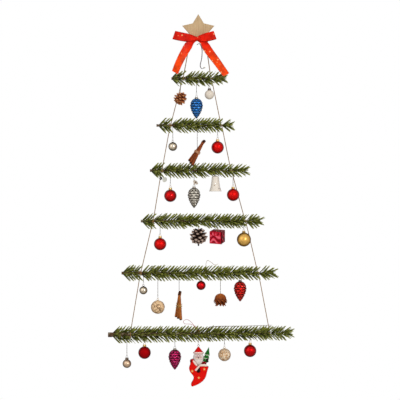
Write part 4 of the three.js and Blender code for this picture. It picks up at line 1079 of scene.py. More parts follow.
SPRAY = [(0.010, 0, 0.003), (0.020, -0.001, 0.012), (0.034, -0.001, 0.0187), (0.120, -0.001, 0.0213),
         (0.203, 0, 0.0240)]
for tier, body in enumerate(TIER_BODIES):
    parts = [twig(tier)]
    if tier == 5:
        line = smooth_line(raised(SPRAY, AXIS_HEIGHTS[5]), 40)
        parts.append(painted(line_tube(line, 0.0009, 6, radii=list(np.linspace(1.2, 0.6, 40))), bark))
    stick = joined(parts)
    bush = painted(needle_mesh(tier), fir_green)
    made(stick, f"twig_{tier + 1}", body, slot="fir")
    made(bush, f"needles_{tier + 1}", body, f"branch_{tier + 1}", slot="fir")

# %% [markdown]
# ## How an ornament hangs
# Each ornament is built below a point that stands for the top of its thread, then moved and leant
# to its real place in one step. The drop is the way from the middle of the branch to the top of
# the ornament's body. Those that rest on a cord lean a little forward.

# %% Hanging helpers
BODY_DROPS = {
    "brown_pine_cone": 38, "blue_glitter_cone": 54, "cream_ball": 33, "silver_ball_upper": 46, "cinnamon_upper": 74,
    "red_ball_1": 43, "red_ball_2": 52, "silver_cone": 47, "white_bell": 15, "red_ball_3": 50, "red_ball_4": 46,
    "frosted_pine_cone": 19, "red_gift": 22, "gold_ball": 32, "silver_ball_lower": 36, "gold_curl_ball": 75,
    "cinnamon_lower": 88, "small_red_ball": 21, "seed_pod": 56, "red_glitter_cone": 22, "champagne_ball": 68,
    "red_ball_5": 33, "magenta_glitter_cone": 42, "stocking_figure": 34, "gold_glitter_ball": 41, "red_ball_6": 31,
}
LEANS = {"brown_pine_cone": 16, "cream_ball": 15, "red_ball_3": 12, "gold_ball": 21, "silver_ball_lower": 8}
LOOP_HALF_WIDTH = 0.0011
jute_thread = twine_finish("jute_thread", srgb(116, 98, 76), srgb(60, 46, 32), 2400.0)


def lean_of(name):
    return math.radians(LEANS.get(name, 0))


def top_of(name):
    """Height of the body's top below the top of its thread."""
    point = hang_points[name]
    hang = math.hypot(point.y, point.z - twig_height(tier_of[name], point.x))
    return -(BODY_DROPS[name] / 1000 / math.cos(lean_of(name)) - hang)


def hung(piece, name):
    return placed(piece, tuple(hang_points[name]), turn=(-lean_of(name), 0, 0))


def hang(pieces, name, word, *nodes, slot):
    """Joins pieces that were built below the top of a thread, hangs them there and keeps them."""
    return made(hung(joined(pieces), name), f"{name}_{word}", name, *nodes, slot=slot)


def yarn(points, radius=0.0008, finish=None):
    points = np.array(points, float)
    return painted(twisted(points, radius, yarns=2, pitch=0.0034, per_turn=6, sides=4), finish or jute_thread)


def thread_to(eye, split=0.009, finish=None):
    """A single thread that is knotted, and goes on as a loop through an eye."""
    knot_at = min(-0.001, eye + split)
    strands = [yarn([(0, 0, 0), (0, 0, knot_at)], finish=finish)] if knot_at < -0.003 else []
    for side in (-1, 1):
        route = [(0, 0, knot_at), (side * LOOP_HALF_WIDTH, 0, (knot_at + eye) / 2 + 0.0005),
                 (side * LOOP_HALF_WIDTH * 0.8, 0, eye + 0.0006), (0, side * 0.0004, eye - 0.0003)]
        strands.append(yarn(smooth_line(route, 12), 0.0004, finish))
    knot = primitive("ico_sphere", (0, 0, knot_at), scale=(1, 0.9, 1.2), subdivisions=2, radius=0.00105)
    return [*strands, painted(knot, finish or jute_thread)]


def thread_turn(name):
    """The hitch of the thread round the branch. It stays on the branch."""
    tier, x = tier_of[name], hang_points[name].x
    radius, height = twig_radius(tier, x) + 0.0005, twig_height(tier, x)
    angles = np.linspace(0, 2 * math.pi, 25)
    ring = [(x + 0.0012 * math.cos(a / 2), radius * math.sin(a), height + radius * math.cos(a)) for a in angles]
    return yarn(ring)


hitches = {}
for name in tier_of:
    hitches.setdefault(tier_of[name], []).append(thread_turn(name))
for tier, rings in hitches.items():
    made(joined(rings), f"thread_hitches_{tier + 1}", TIER_BODIES[tier], slot="jute")

# %% [markdown]
# ## Caps and eyes
# A bauble has a pressed metal cap, crimped round its lower rim, with a wire arch that springs out
# of it. The cap is spun from a thin wall, and its rim is then waved. Plain balls have only a ring.

# %% Metal finishes


def metal_finish(name, colour, roughness):
    finish, tree, shader, place = new_finish(name, roughness, Metallic=1.0)
    dull = patchy(tree, place, colour, 420.0, 0.35)
    scuffs = between(tree, dull["Mask"], 0, 1, roughness * 0.7, roughness * 1.5)
    fill(tree, shader, {"Base Color": dull["Colour"], "Roughness": scuffs})
    return finish


cap_gold = metal_finish("cap_gold", srgb(176, 144, 92), 0.3)
cap_silver = metal_finish("cap_silver", srgb(132, 124, 114), 0.3)
wire_dark = metal_finish("wire_dark", srgb(96, 84, 74), 0.4)

# %% Cap and eye shapes
CAP_RADIUS, CAP_HEIGHT, CAP_WALL, ARCH_EYE = 0.0046, 0.0045, 0.0004, 0.0055
RING_RADIUS, RING_WIRE = 0.0026, 0.0005


def crimped_cap(rim, finish):
    """The cap and its wire arch, with a thread through the arch."""
    radius, height, inner = CAP_RADIUS, CAP_HEIGHT, CAP_RADIUS - CAP_WALL
    cap = spun([(0, height - CAP_WALL), (radius * 0.86 - CAP_WALL, height - CAP_WALL), (inner, height * 0.7),
                (inner, 0), (radius, 0), (radius, height * 0.42), (radius, height * 0.72), (radius * 0.86, height),
                (radius * 0.3, height), (radius * 0.26, height + 0.0006), (0, height + 0.0006)], 48)

    def crimps(x, y, z):
        low = max(0, 1 - z / (height * 0.7))
        wave = math.cos(12 * math.atan2(y, x))
        grow = 1 + 0.07 * low * wave
        return x * grow, y * grow, z - 0.0004 * low * wave

    half = [(0.0027, 0, height * 0.7), (0.0026, 0, height + 0.0028), (0.0015, 0, height + 0.0052)]
    left = [(-x, y, z) for x, y, z in half]
    arch = line_tube(smooth_line([*left, (0, 0, height + 0.0059), *half[::-1]], 28), 0.00045, 8)
    cap = placed(joined([reshaped(cap, crimps), arch]), (0, 0, rim))
    return [smooth(painted(cap, finish or cap_gold), 45), *thread_to(rim + CAP_HEIGHT + ARCH_EYE)]


def wire_ring(centre, finish):
    angles = np.linspace(0, 2 * math.pi, 25)[:-1]
    points = [(RING_RADIUS * math.cos(a), 0, RING_RADIUS * math.sin(a)) for a in angles]
    ring = line_tube(points, RING_WIRE, 8, closed=True)
    return smooth(painted(placed(ring, (0, 0, centre)), finish or cap_silver))


# %% [markdown]
# ## Baubles
# The balls are spun from a round profile with a fine seam at the middle and a neck under the cap.
# The six red ones differ only in gloss. The others are gold, champagne and cream, and each has its
# own finish, since light tells these balls apart more than shape does.

# %% Ball finishes


def ball_finish(name, colour, rim, roughness, amount=0.12, rim_shade_range=(0.18, 0.78), **plain):
    finish, tree, shader, place = new_finish(name, roughness, Specular_Tint=rim, **plain)
    tint = patchy(tree, place, colour, 240.0, amount)
    # The rim colour is painted shade: each ball darkens towards its outline, as if it mirrored a dark room.
    fill(tree, shader, {
        "Base Color": mixed(tree, painted_rim_shade(tree, *rim_shade_range), tint["Colour"], rim),
        "Roughness": between(tree, tint["Mask"], 0, 1, roughness * 0.88, roughness * 1.15),
    })
    return finish


# The second colour of each finish is the painted shade at its rim.
red_satin = ball_finish("red_satin", srgb(206, 14, 10), srgb(52, 0, 2), 0.27, Metallic=0.5, Coat_Weight=0.1)
red_gloss = ball_finish("red_gloss", srgb(188, 6, 8), srgb(46, 0, 2), 0.2, Coat_Weight=0.15, Metallic=0.65)
red_matte = ball_finish("red_matte", srgb(160, 8, 12), srgb(56, 0, 4), 0.55, Metallic=0.3)
gold_satin = ball_finish("gold_satin", srgb(214, 168, 88), srgb(84, 52, 16), 0.34, 0.3, Metallic=0.75)
champagne = ball_finish("champagne", srgb(204, 174, 146), srgb(52, 38, 28), 0.28, 0.2, (0.1, 0.72), Metallic=0.75)
cream_satin = ball_finish("cream_satin", srgb(232, 220, 204), srgb(172, 154, 136), 0.42, 0.2, (0.3, 0.9))
small_red = ball_finish("small_red", srgb(190, 10, 18), srgb(36, 0, 2), 0.16, 0.1, (0.1, 0.7),
                        Metallic=0.75, Coat_Weight=0.12)
silver_mirror = ball_finish("silver_mirror", srgb(202, 188, 166), srgb(58, 46, 36), 0.16, 0.25, (0.1, 0.72),
                            Metallic=1.0)

# %% Ball shapes
RED_RADIUS, NECK_RADIUS = 0.0173, 0.0032


def ball_shape(radius, neck=NECK_RADIUS):
    neck_angle = math.acos(neck / radius) if neck else math.pi / 2
    profile = [(0, -radius)]
    for angle in np.linspace(-math.pi / 2, neck_angle, 34)[1:]:
        seam = 0.00014 * math.exp(-((angle * radius / 0.0003) ** 2))
        reach = (radius - seam) * math.cos(angle) if angle < math.pi / 2 - 0.01 else 0
        profile.append((reach, radius * math.sin(angle)))
    if neck:
        height = radius * math.sin(neck_angle) + 0.003
        profile += [(neck, height), (0, height)]
    return smooth(spun(profile, 56), 60)


def capped_bauble(name, radius, finish, slot, cap_finish=None):
    top = top_of(name)
    ball = painted(placed(ball_shape(radius - 0.0002), (0, 0, top - radius)), finish)
    hang([ball], name, "ball", name, slot=slot)
    rim = top - radius + radius * math.sin(math.acos(NECK_RADIUS / radius)) + 0.0003
    hang(crimped_cap(rim, cap_finish), name, "cap", name + "_hanger", slot="hanger_gold")


for number, finish in enumerate((red_satin, red_gloss, red_satin, red_satin, red_matte, red_gloss), 1):
    capped_bauble(f"red_ball_{number}", RED_RADIUS, finish, "red_satin")
capped_bauble("gold_ball", 0.0194, gold_satin, "gold")
capped_bauble("cream_ball", 0.013, cream_satin, "cream", wire_dark)
capped_bauble("champagne_ball", 0.012, champagne, "champagne", wire_dark)

# %% Balls on a ring


def ringed_ball(name, radius, finish, slot, ring_finish=None, shape=None, extra=()):
    top = top_of(name)
    ball = joined([painted(shape or ball_shape(radius, neck=0), finish), *extra])
    ball = placed(ball, (0, 0, top - radius))
    ring = wire_ring(top + 0.0024, ring_finish)
    collar = spun([(0, 0.0012), (0.0016, 0.0011), (0.0021, 0.0004), (0.0023, -0.0006), (0, -0.0006)], 24)
    collar = smooth(painted(placed(collar, (0, 0, top)), ring_finish or cap_silver))
    hang([ball, ring, collar, *thread_to(top + 0.0046)], name, "whole", name, slot=slot)


ringed_ball("silver_ball_upper", 0.012, silver_mirror, "silver")
ringed_ball("silver_ball_lower", 0.011, silver_mirror, "silver", wire_dark)
ringed_ball("small_red_ball", 0.0128, small_red, "red_gloss", cap_gold)

# %% [markdown]
# ## Cones of coloured glass
# Four ornaments are cone shaped drops of glass, with rows of round scales that overlap like tiles.
# One scale is modelled from a flattened ball and copied round a spun core. Each scale knows how far
# a point is from its root, which lets the finish paint shade dark in the gaps and run to the glass's colour at the
# lip.

# %% Copies of a small piece


def scattered(piece, moves, tones):
    """A copy of a small piece for each move. "run" is the share along the piece's own X."""
    corners = np.array([tuple(vertex.co) for vertex in piece.data.vertices])
    faces = [list(face.vertices) for face in piece.data.polygons]
    run = (corners[:, 0] - corners[:, 0].min()) / np.ptp(corners[:, 0])
    flat = np.hstack([corners, np.ones((len(corners), 1))])
    points = np.vstack([(flat @ np.array(move).T)[:, :3] for move in moves])
    only(piece)
    bpy.ops.object.delete()
    return copies_of(points, faces, len(moves), run=np.tile(run, len(moves)), tone=np.repeat(tones, len(corners)))


def scale_at(root, turn, pitch, size, roll=0.0):
    """The move that stands a small piece at a height and a turn round Z, out along its own X."""
    return (Matrix.Rotation(turn, 4, "Z") @ Matrix.Translation(root) @ Matrix.Rotation(pitch, 4, "Y")
            @ Matrix.Rotation(roll, 4, "X") @ Matrix.Diagonal((*size, 1)))


def with_root_shade(core):
    """A core gets the painted shade of a scale's root."""
    return marked(core, run=np.zeros(len(core.data.vertices)))


# %% Cone glass finishes
CONE_RADIUS, CONE_LENGTH = 0.0165, 0.056
CONE_SHOULDER, CONE_FULLNESS = 0.68, 0.78
CONE_ROWS, CONE_COLUMNS = 8, 8


def cone_glass(name, deep, body, flash, share=0.14, gloss=0.26):
    finish, tree, shader, place = new_finish(name, gloss, Metallic=0.7, Coat_Weight=0.08, Specular_Tint=deep)
    run = between(tree, value_of(tree, "run"), 0.15, 0.75)
    # The dark colour is painted shade: in the gaps at the roots of the scales, and at the rim where the cone turns
    # away.
    toned = mixed(tree, painted_rim_shade(tree, 0.12, 0.66), mixed(tree, run, deep, body), deep)
    flakes = glittering(tree, place, toned, flash, 1500.0, 0.5, share)
    fill(tree, shader, {"Base Color": flakes["Colour"], "Normal": flakes["Normal"],
                        "Roughness": between(tree, flakes["Mask"], 0, 1, gloss, 0.16)})
    return finish


blue_glass = cone_glass("blue_cone_glass", srgb(2, 18, 62), srgb(30, 128, 224), srgb(140, 200, 250))
silver_glass = cone_glass("silver_cone_glass", srgb(84, 74, 60), srgb(214, 206, 190), srgb(250, 246, 238), 0.12, 0.3)
magenta_glass = cone_glass("magenta_cone_glass", srgb(44, 0, 16), srgb(198, 22, 92), srgb(244, 96, 156))
red_glass = cone_glass("red_cone_glass", srgb(62, 0, 0), srgb(236, 20, 18), srgb(252, 100, 84))

# %% The scale and the cones


def glass_scale():
    def rounded(x, y, z):
        narrow = 0.5 + 0.5 * math.sin(math.pi * min(1, x * 0.86 + 0.1))
        point = 1 - 0.5 * max(0, x - 0.7) / 0.3
        return x, y * narrow * point, z * (0.25 + 0.75 * x)

    scale = primitive("uv_sphere", (0.5, 0, 0), segments=12, ring_count=8, radius=0.5)
    return smooth(reshaped(scale, rounded), 80)


def cone_reach(share):
    return CONE_RADIUS * math.sin(math.pi * min(1, max(0, share)) ** CONE_SHOULDER) ** CONE_FULLNESS


def inside_cone(x, y, z):
    z = min(-0.0004, max(z, 0.0001 - CONE_LENGTH))
    limit = cone_reach(-z / CONE_LENGTH) * 1.045 + 0.0004
    shrink = min(1, limit / max(1e-6, math.hypot(x, y)))
    return x * shrink, y * shrink, z


def glass_cone(name, finish, slot, cap_finish):
    top = top_of(name)
    shares = np.linspace(0, 1, 30)
    core = spun([(0 if share in (0, 1) else cone_reach(share) * 0.9, -CONE_LENGTH * share) for share in shares], 42)
    luck = np.random.default_rng(len(name))
    moves = []
    for row in range(CONE_ROWS):
        share = 0.01 + 0.86 * row / (CONE_ROWS - 1)
        ahead = share + 0.125
        near, far = cone_reach(share) * 0.8, cone_reach(ahead)
        down = CONE_LENGTH * (ahead - share)
        pitch = math.atan2(down, far - near)
        length = 1.25 * math.hypot(down, far - near)
        width = 2 * math.pi * cone_reach(share + 0.06) / CONE_COLUMNS * 1.16
        for column in range(CONE_COLUMNS):
            turn = 2 * math.pi * (column + 0.5 * (row % 2)) / CONE_COLUMNS
            moves.append(scale_at((near, 0, -CONE_LENGTH * share), turn, pitch, (length, width, 0.0066)))
    scales = scattered(glass_scale(), moves, luck.random(len(moves)))
    drop = reshaped(joined([with_root_shade(core), smooth(scales, 80)]), inside_cone)
    drop = painted(placed(drop, (0, 0, top)), finish)
    hang([drop, *crimped_cap(top - 0.0018, cap_finish)], name, "drop", name, slot=slot)


glass_cone("blue_glitter_cone", blue_glass, "blue_glitter", cap_silver)
glass_cone("silver_cone", silver_glass, "silver_glitter", cap_silver)
glass_cone("red_glitter_cone", red_glass, "red_glitter", wire_dark)
glass_cone("magenta_glitter_cone", magenta_glass, "magenta_glitter", cap_silver)

# %% The tag above the silver cone
tag_height = top_of("silver_cone") + 0.0145
tag_pale = ball_finish("tag_pale", srgb(206, 192, 176), srgb(140, 120, 104), 0.5, 0.3)
tag_ring = primitive("torus", turn=(math.pi / 2, 0, 0), scale=(1.15, 0.62, 0.85),
                     major_segments=32, minor_segments=8, major_radius=0.0044, minor_radius=0.0024)
# The dark pane that fills the ring's hole is a painted dark reflection.
dark_reflection_pane = spun([(0, 0), (0.0034, 0.0001), (0.0034, 0.0005), (0, 0.0006)], 24)
dark_reflection_pane = painted(placed(dark_reflection_pane, turn=(math.pi / 2, 0, 0)), wire_dark)
tag_ring = painted(placed(tag_ring, turn=(0, math.radians(38), 0)), tag_pale)
fold = smooth_line([(-0.0052, -0.0015, 0.0052), (-0.0048, -0.002, 0.0), (-0.0035, -0.0018, -0.0052),
                    (-0.0018, -0.001, -0.0085)], 20)
strip = painted(ribbon_strip(fold, [(0.0012, 0.0009, 0.0003)] * len(fold), 0.0006, 3), tag_pale)
tag = placed(smooth(joined([tag_ring, dark_reflection_pane, strip]), 50), (0.0042, -0.0022, tag_height))
hang([tag], "silver_cone", "tag", slot="silver_glitter")

# %% [markdown]
# ## Pine cones
# Real cones carry woody scales set round a core at the golden angle. The scale is a block that is
# cut into smaller faces and drawn out to a narrow root and a thick, curled lip with a small boss.

# %% Wood finishes of the cones


def cone_wood(name, root, middle, lip, at):
    finish, tree, shader, place = new_finish(name, 0.72)
    run = value_of(tree, "run")
    # On the pine cones the root colour is painted shade, dark in the gaps between the scales.
    woody = mixed(tree, between(tree, run, 0.1, at), root, middle)
    tipped = mixed(tree, between(tree, run, at, 0.97), woody, lip)
    hairs = fibred(tree, place, (1, 1, 1), 900.0, (1, 1, 1, 1), (0.5, 0.44, 0.4, 1))
    grained = mixed(tree, 0.7, tipped, hairs["Colour"], "MULTIPLY")
    worn = patchy(tree, place, grained, 260.0, 0.5)
    toned = worked_out(tree, "MULTIPLY", value_of(tree, "tone"), 0.35)
    fill(tree, shader, {"Base Color": mixed(tree, toned, worn["Colour"], root),
                        "Normal": bumps(tree, 0.5, 0.0004, hairs["Height"])})
    return finish


brown_wood = cone_wood("brown_cone_wood", srgb(34, 8, 2), srgb(150, 60, 20), srgb(232, 160, 104), 0.7)
frosted_wood = cone_wood("frosted_cone_wood", srgb(8, 3, 2), srgb(50, 26, 18), srgb(236, 208, 190), 0.74)

# %% The woody scale


def woody_scale():
    def curled(x, y, z):
        width = 0.4 + 0.6 * math.sin(math.pi * min(1, 0.1 + 0.62 * x)) ** 1.3
        lip = max(0, x - 0.62) / 0.38
        round_end = math.sqrt(max(0.05, 1 - (abs(y) * 1.55 * lip) ** 2))
        thick = 0.34 + 0.66 * x - 0.35 * lip * lip - 0.7 * abs(y) * (0.3 + 0.7 * lip)
        lift = 0.9 * x * x * x - 0.5 * y * y
        return (x * (1 - 0.14 * (1 - round_end)) - 0.1 * abs(y) * lip, y * width * round_end,
                z * max(0.18, thick) + lift * 0.55)

    scale = primitive("cube", (0.5, 0, 0), size=1)
    edit(scale)
    bpy.ops.mesh.subdivide(number_cuts=3)
    return smooth(reshaped(done_editing(), curled), 55)


def pine_cone(name, radius, length, count, tilt, finish, slot, widest, pitches, thick, stub=0.0):
    """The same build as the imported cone, with more scales in the same outline."""
    top = top_of(name)
    luck = np.random.default_rng(count)
    core = spun([(0, -length * 0.42), (radius * 0.3, -length * 0.3), (radius * 0.42, 0),
                 (radius * 0.34, length * 0.3), (0, length * 0.46)], 18)
    moves = []
    for index in range(count):
        share = (index + 0.5) / count
        swell = math.sin(math.pi * (0.14 + 0.74 * share))
        reach = radius * swell * luck.uniform(0.93, 1.0)
        pitch = math.radians(pitches[0] + (pitches[1] - pitches[0]) * share + luck.normal(0, 3))
        root = length * (0.42 - 0.72 * share)
        turn = index * math.pi * (3 - math.sqrt(5))
        size = (reach, reach * widest + 0.002, thick * (0.6 + 0.4 * swell))
        moves.append(scale_at((0, 0, root), turn, pitch, size, luck.normal(0, 0.08)))
    cone = joined([with_root_shade(core), scattered(woody_scale(), moves, luck.random(count))])
    reshaped(cone, lambda x, y, z: (x, y, min(z, length / 2 - 0.0005)))
    if stub:
        stem = spun([(0, 0), (0.0016, -0.0004), (0.0022, 0.003), (0.0034, 0.008), (0, 0.009)], 12)
        cone = joined([cone, placed(stem, (0, 0, -length / 2 - stub))])
    cone = painted(placed(cone, turn=(0, math.radians(tilt), 0)), finish)
    cone = placed(cone, (0, 0, top - length / 2))
    strand = yarn([(0, 0, 0), (0, 0, top / 2), (0, 0, top - length * 0.16)])
    hang([cone, strand], name, "whole", name, slot=slot)


pine_cone("brown_pine_cone", 0.0196, 0.037, 42, 30, brown_wood, "pine_cone", 0.42, (6, 62), 0.0064)
pine_cone("frosted_pine_cone", 0.0262, 0.046, 50, 0, frosted_wood, "frosted_cone", 0.4, (-3, 52), 0.0076, 0.003)

# %% [markdown]
# ## Cinnamon bundles
# A cinnamon stick is a sheet of bark that rolled up as it dried. The section is one curled line,
# which is drawn out step by step to the stick's length, given a little waver, and then a thickness.
# Three sticks lie one before the other and fan out below the tie.

# %% Bark of the cinnamon
QUILL_RADIUS, QUILL_WALL, QUILL_GAP, QUILL_LENGTH = 0.0045, 0.0009, 0.0003, 0.074
QUILL_SINK = 0.0005
QUILL_FAN = math.radians(6.5)
QUILL_RISE, QUILL_SLIDE = 0.026, 0.003


def cinnamon_bark(name, tilt, light, dark, hollow_shade):
    finish, tree, shader, place = new_finish(name, 0.78)
    straight = node(tree, "ShaderNodeMapping", {"Vector": place, "Rotation": (0, -tilt, 0)})
    hairs = fibred(tree, straight.outputs[0], (1, 1, 0.07), 620.0, light, dark)
    worn = patchy(tree, place, hairs["Colour"], 95.0, 0.55)
    # Deep inside the roll the colour turns to the hollow colour, painted shade in the hollow of the rolled bark.
    fill(tree, shader, {"Base Color": mixed(tree, value_of(tree, "inner"), worn["Colour"], hollow_shade),
                        "Normal": bumps(tree, 0.55, 0.0003, hairs["Height"])})
    return finish


def quill(luck):
    """One rolled stick along Z."""
    steps, turns, round_turns, lengths = 44, 1.45, 0.62, 18
    chain = []
    for step in range(steps + 1):
        curled = max(0, turns * step / steps - round_turns) / (1 - round_turns)
        angle = math.pi / 3 + 2 * math.pi * turns * step / steps
        radius = QUILL_RADIUS - QUILL_WALL / 2 - (QUILL_WALL + QUILL_GAP) * curled
        chain.append((radius * math.cos(angle), radius * math.sin(angle), -QUILL_LENGTH / 2))
    stick = new_piece("quill", chain, [], [(step, step + 1) for step in range(steps)])
    edit(stick)
    bpy.ops.mesh.select_mode(type="VERT")
    bpy.ops.mesh.select_all(action="SELECT")
    for _ in range(lengths):
        bpy.ops.mesh.extrude_region_move(TRANSFORM_OT_translate={"value": (0, 0, QUILL_LENGTH / lengths)})
    bpy.ops.object.mode_set(mode="OBJECT")
    phase = luck.uniform(0, 6.28, 4)

    def wavering(x, y, z):
        angle, share = math.atan2(y, x), z / QUILL_LENGTH
        waver = 0.05 * abs(math.sin(9 * share + phase[0]))
        pinch = 1 - waver - 0.03 * abs(math.sin(3 * angle + 14 * share + phase[1]))
        ragged = (0.0011 * abs(math.sin(2.5 * angle + phase[2])) - 0.45 * y + 0.0016) * (abs(share) > 0.49)
        return x * pinch, y * pinch, z - math.copysign(1, z) * ragged

    # The mark grows towards the inner layers of the roll, where the finish paints shade.
    def depth_inside(x, y, z):
        deep = QUILL_RADIUS - 0.55 * QUILL_WALL - math.hypot(x, y)
        return x, y, z, min(1, max(0, deep / (0.5 * QUILL_WALL)))

    with_modifier(reshaped(stick, wavering), "SOLIDIFY", thickness=QUILL_WALL, offset=0)
    return smooth(reshaped(stick, depth_inside, "inner"), 50)


def tie_ring(radius, reach, shift, slant=0.0):
    """A loop round the bundle: two half circles with straight sides, which follow the fan of it."""
    ring = []
    for step in range(41):
        angle = 2 * math.pi * step / 40
        side = reach if math.sin(angle) >= 0 else -reach
        fan = -math.copysign(QUILL_RISE * math.tan(QUILL_FAN), side)
        across, along = math.cos(angle), math.sin(angle)
        ring.append((radius * across + fan, radius * along + side, shift + slant * across))
    return ring


def cinnamon_bundle(name, tilt_degrees, finish, tie_finish, rings, crossed):
    top = top_of(name)
    luck = np.random.default_rng(7)
    tilt = math.radians(tilt_degrees)
    spacing = 2 * QUILL_RADIUS - QUILL_SINK
    tie_out = QUILL_RISE * math.tan(QUILL_FAN)
    tie_half = QUILL_RADIUS + tie_out + 0.0003 + 0.0011 + QUILL_SINK
    centre = Vector((0, -spacing - tie_half, top))
    cross = centre + Vector((math.sin(tilt), 0, math.cos(tilt))) * QUILL_RISE
    sticks = []
    for place in (-1, 0, 1):
        angle = tilt + QUILL_FAN * place
        middle = cross + Vector((math.sin(angle), 0, math.cos(angle))) * (place * QUILL_SLIDE - QUILL_RISE)
        middle.y += place * spacing
        sticks.append(placed(quill(luck), tuple(middle), turn=(0, angle, 0)))
    hang([painted(joined(sticks), finish)], name, "sticks", name, slot="cinnamon")
    snug = QUILL_RADIUS + 0.001
    loops = [tie_ring(snug, spacing, shift) for shift in rings]
    if crossed:
        loops += [tie_ring(snug, spacing, 0, slant) for slant in (0.006, -0.006)]
    ties = [placed(yarn(loop, 0.0008, tie_finish), tuple(centre), turn=(0, tilt, 0)) for loop in loops]
    if crossed:
        knot_place = centre + Vector((tie_out, -spacing - snug, 0))
        knot = primitive("torus", tuple(knot_place), turn=(0.9, 0.5, 0), major_segments=20, minor_segments=8,
                         major_radius=0.0013, minor_radius=0.0007)
        ties.append(painted(knot, tie_finish))
    back = centre + Matrix.Rotation(tilt, 3, "Y") @ Vector((-tie_out, spacing + snug, 0))
    ties.append(yarn([(0, 0, 0), (0, 0, top / 2), (0, 0, top + 0.006), tuple(back)]))
    hang(ties, name, "tie_twine", name + "_tie", slot="jute")


dark_bark = cinnamon_bark("dark_cinnamon", math.radians(31), srgb(172, 88, 44), srgb(98, 42, 18), srgb(52, 24, 14))
light_bark = cinnamon_bark("light_cinnamon", math.radians(3), srgb(196, 118, 54), srgb(124, 60, 24), srgb(48, 22, 12))
pale_raffia = twine_finish("pale_raffia", srgb(226, 176, 136), srgb(184, 126, 90), 2000.0)
yellow_twine = twine_finish("yellow_twine", srgb(216, 172, 92), srgb(160, 112, 52), 2000.0)
cinnamon_bundle("cinnamon_upper", 31, dark_bark, pale_raffia, (-0.0026, -0.0013, 0, 0.0013, 0.0026), False)
cinnamon_bundle("cinnamon_lower", 3, light_bark, yellow_twine, (-0.0007, 0.0007), True)

# %% [markdown]
# ## Bell, gift and seed pod
# The bell is a spun shell with a rolled lip, with a clapper on a thread inside. The gift is a cube
# with soft edges whose paper is pressed in waves, and whose fold on the right is cut in teeth. The
# pod is a ribbed ball with rows of small scales, and a crown of teeth below.

# %% The bell
porcelain, tree, shader, place = new_finish("porcelain", 0.32, Coat_Weight=0.2)
tint = patchy(tree, place, srgb(236, 226, 212), 120.0, 0.12)
# The bell greys towards its outline, as painted shade.
fill(tree, shader, {"Base Color": mixed(tree, painted_rim_shade(tree, 0.35, 0.85), tint["Colour"], srgb(176, 164, 154))})
bead_gold = metal_finish("bead_gold", srgb(150, 104, 52), 0.35)
BELL_TOP, BELL_MOUTH, BELL_HEIGHT, BELL_WALL = 0.0095, 0.0172, 0.042, 0.0018
# The dark beads stand for holes punched through the porcelain, painted shade where the hollow of the bell shows
# through.
BEADS = [(-13, 0.0257, 0.0011, bead_gold), (40, 0.0345, 0.0012, wire_dark), (62, 0.0362, 0.0009, wire_dark),
         (133, 0.027, 0.001, bead_gold), (205, 0.03, 0.001, bead_gold)]


def bell_reach(share):
    return BELL_TOP + (BELL_MOUTH - BELL_TOP) * (share + share ** 4) / 2


bell_top = top_of("white_bell")
shares = np.linspace(0.05, 1, 22)
outer = [(0, 0), (BELL_TOP * 0.45, -0.0001), (BELL_TOP * 0.8, -0.0008), (BELL_TOP * 0.97, -0.0018)]
for share in shares:
    grooves = [0.0003 * math.exp(-((share - at) / 0.012) ** 2) for at in (0.84, 0.16)]
    outer.append((bell_reach(share) - sum(grooves), -BELL_HEIGHT * share))
inner = [(BELL_MOUTH - BELL_WALL * 0.4, -BELL_HEIGHT - 0.0003), (BELL_MOUTH - BELL_WALL, -BELL_HEIGHT + 0.0002)]
inner += [(bell_reach(share) - BELL_WALL, -BELL_HEIGHT * share) for share in shares[-2::-1]]
shell = painted(smooth(spun([*outer, *inner, (0, -BELL_WALL)], 56), 45), porcelain)
clapper = painted(primitive("uv_sphere", (0, 0, -0.022), segments=24, ring_count=14, radius=0.0036), bead_gold)
stem = yarn([(0, 0, -0.001), (0, 0, -0.01), (0, 0, -0.0195)])
beads = []
for turn, down, size, finish in BEADS:
    angle, reach = math.radians(turn - 90), bell_reach(down / BELL_HEIGHT)
    place = (reach * math.cos(angle), reach * math.sin(angle), -down)
    beads.append(painted(primitive("uv_sphere", place, segments=12, ring_count=8, radius=size), finish))
bell = placed(joined([shell, clapper, stem, *beads]), (0, 0, bell_top))
ring = wire_ring(bell_top + 0.0024, wire_dark)
hang([bell, ring, *thread_to(bell_top + 0.0046)], "white_bell", "whole", "white_bell", slot="white_ceramic")

# %% Foil of the gift


def foil_finish(name, light, body, dark, metal, gloss):
    finish, tree, shader, place = new_finish(name, 0.32, Metallic=metal, Specular_IOR_Level=gloss)
    height = value_of(tree, "run")
    # The pressed waves are painted: dark in the troughs as painted shade, and light on the crests as a painted
    # highlight.
    shaded_troughs = mixed(tree, between(tree, height, 0.0, 0.5), dark, body)
    waves = mixed(tree, between(tree, height, 0.5, 0.95), shaded_troughs, light)
    creases = node(tree, "ShaderNodeTexNoise", {"Vector": place, "Scale": 520.0, "Detail": 3.0})
    fill(tree, shader, {"Base Color": patchy(tree, place, waves, 300.0, 0.3)["Colour"],
                        "Normal": bumps(tree, 0.3, 0.0003, creases.outputs["Fac"])})
    return finish


front_foil = foil_finish("front_foil", srgb(238, 96, 116), srgb(198, 12, 40), srgb(136, 4, 24), 0.35, 0.12)
shaded_side_foil = foil_finish("shaded_side_foil", srgb(176, 24, 44), srgb(122, 6, 22), srgb(74, 0, 10), 0.0, 0.02)

# %% The gift
GIFT_SIZE, GIFT_TURN, GIFT_TIP, TEETH = 0.034, math.radians(20), math.radians(11), 9
half = GIFT_SIZE / 2


def pressed(u, v):
    """Height of the waves pressed into a side, from 0 to 1, over -0.5..0.5 across and up."""
    arcs = math.sin(17 * math.hypot(u + 0.12, v * 0.8 + 0.65) + 1.2 * math.sin(9 * u))
    swirl = math.sin(26 * math.hypot(u - 0.08, v - 0.36))
    height = arcs if v < 0.18 else 0.5 * arcs + 0.7 * swirl
    return min(1, max(0, 0.5 + 0.55 * height))


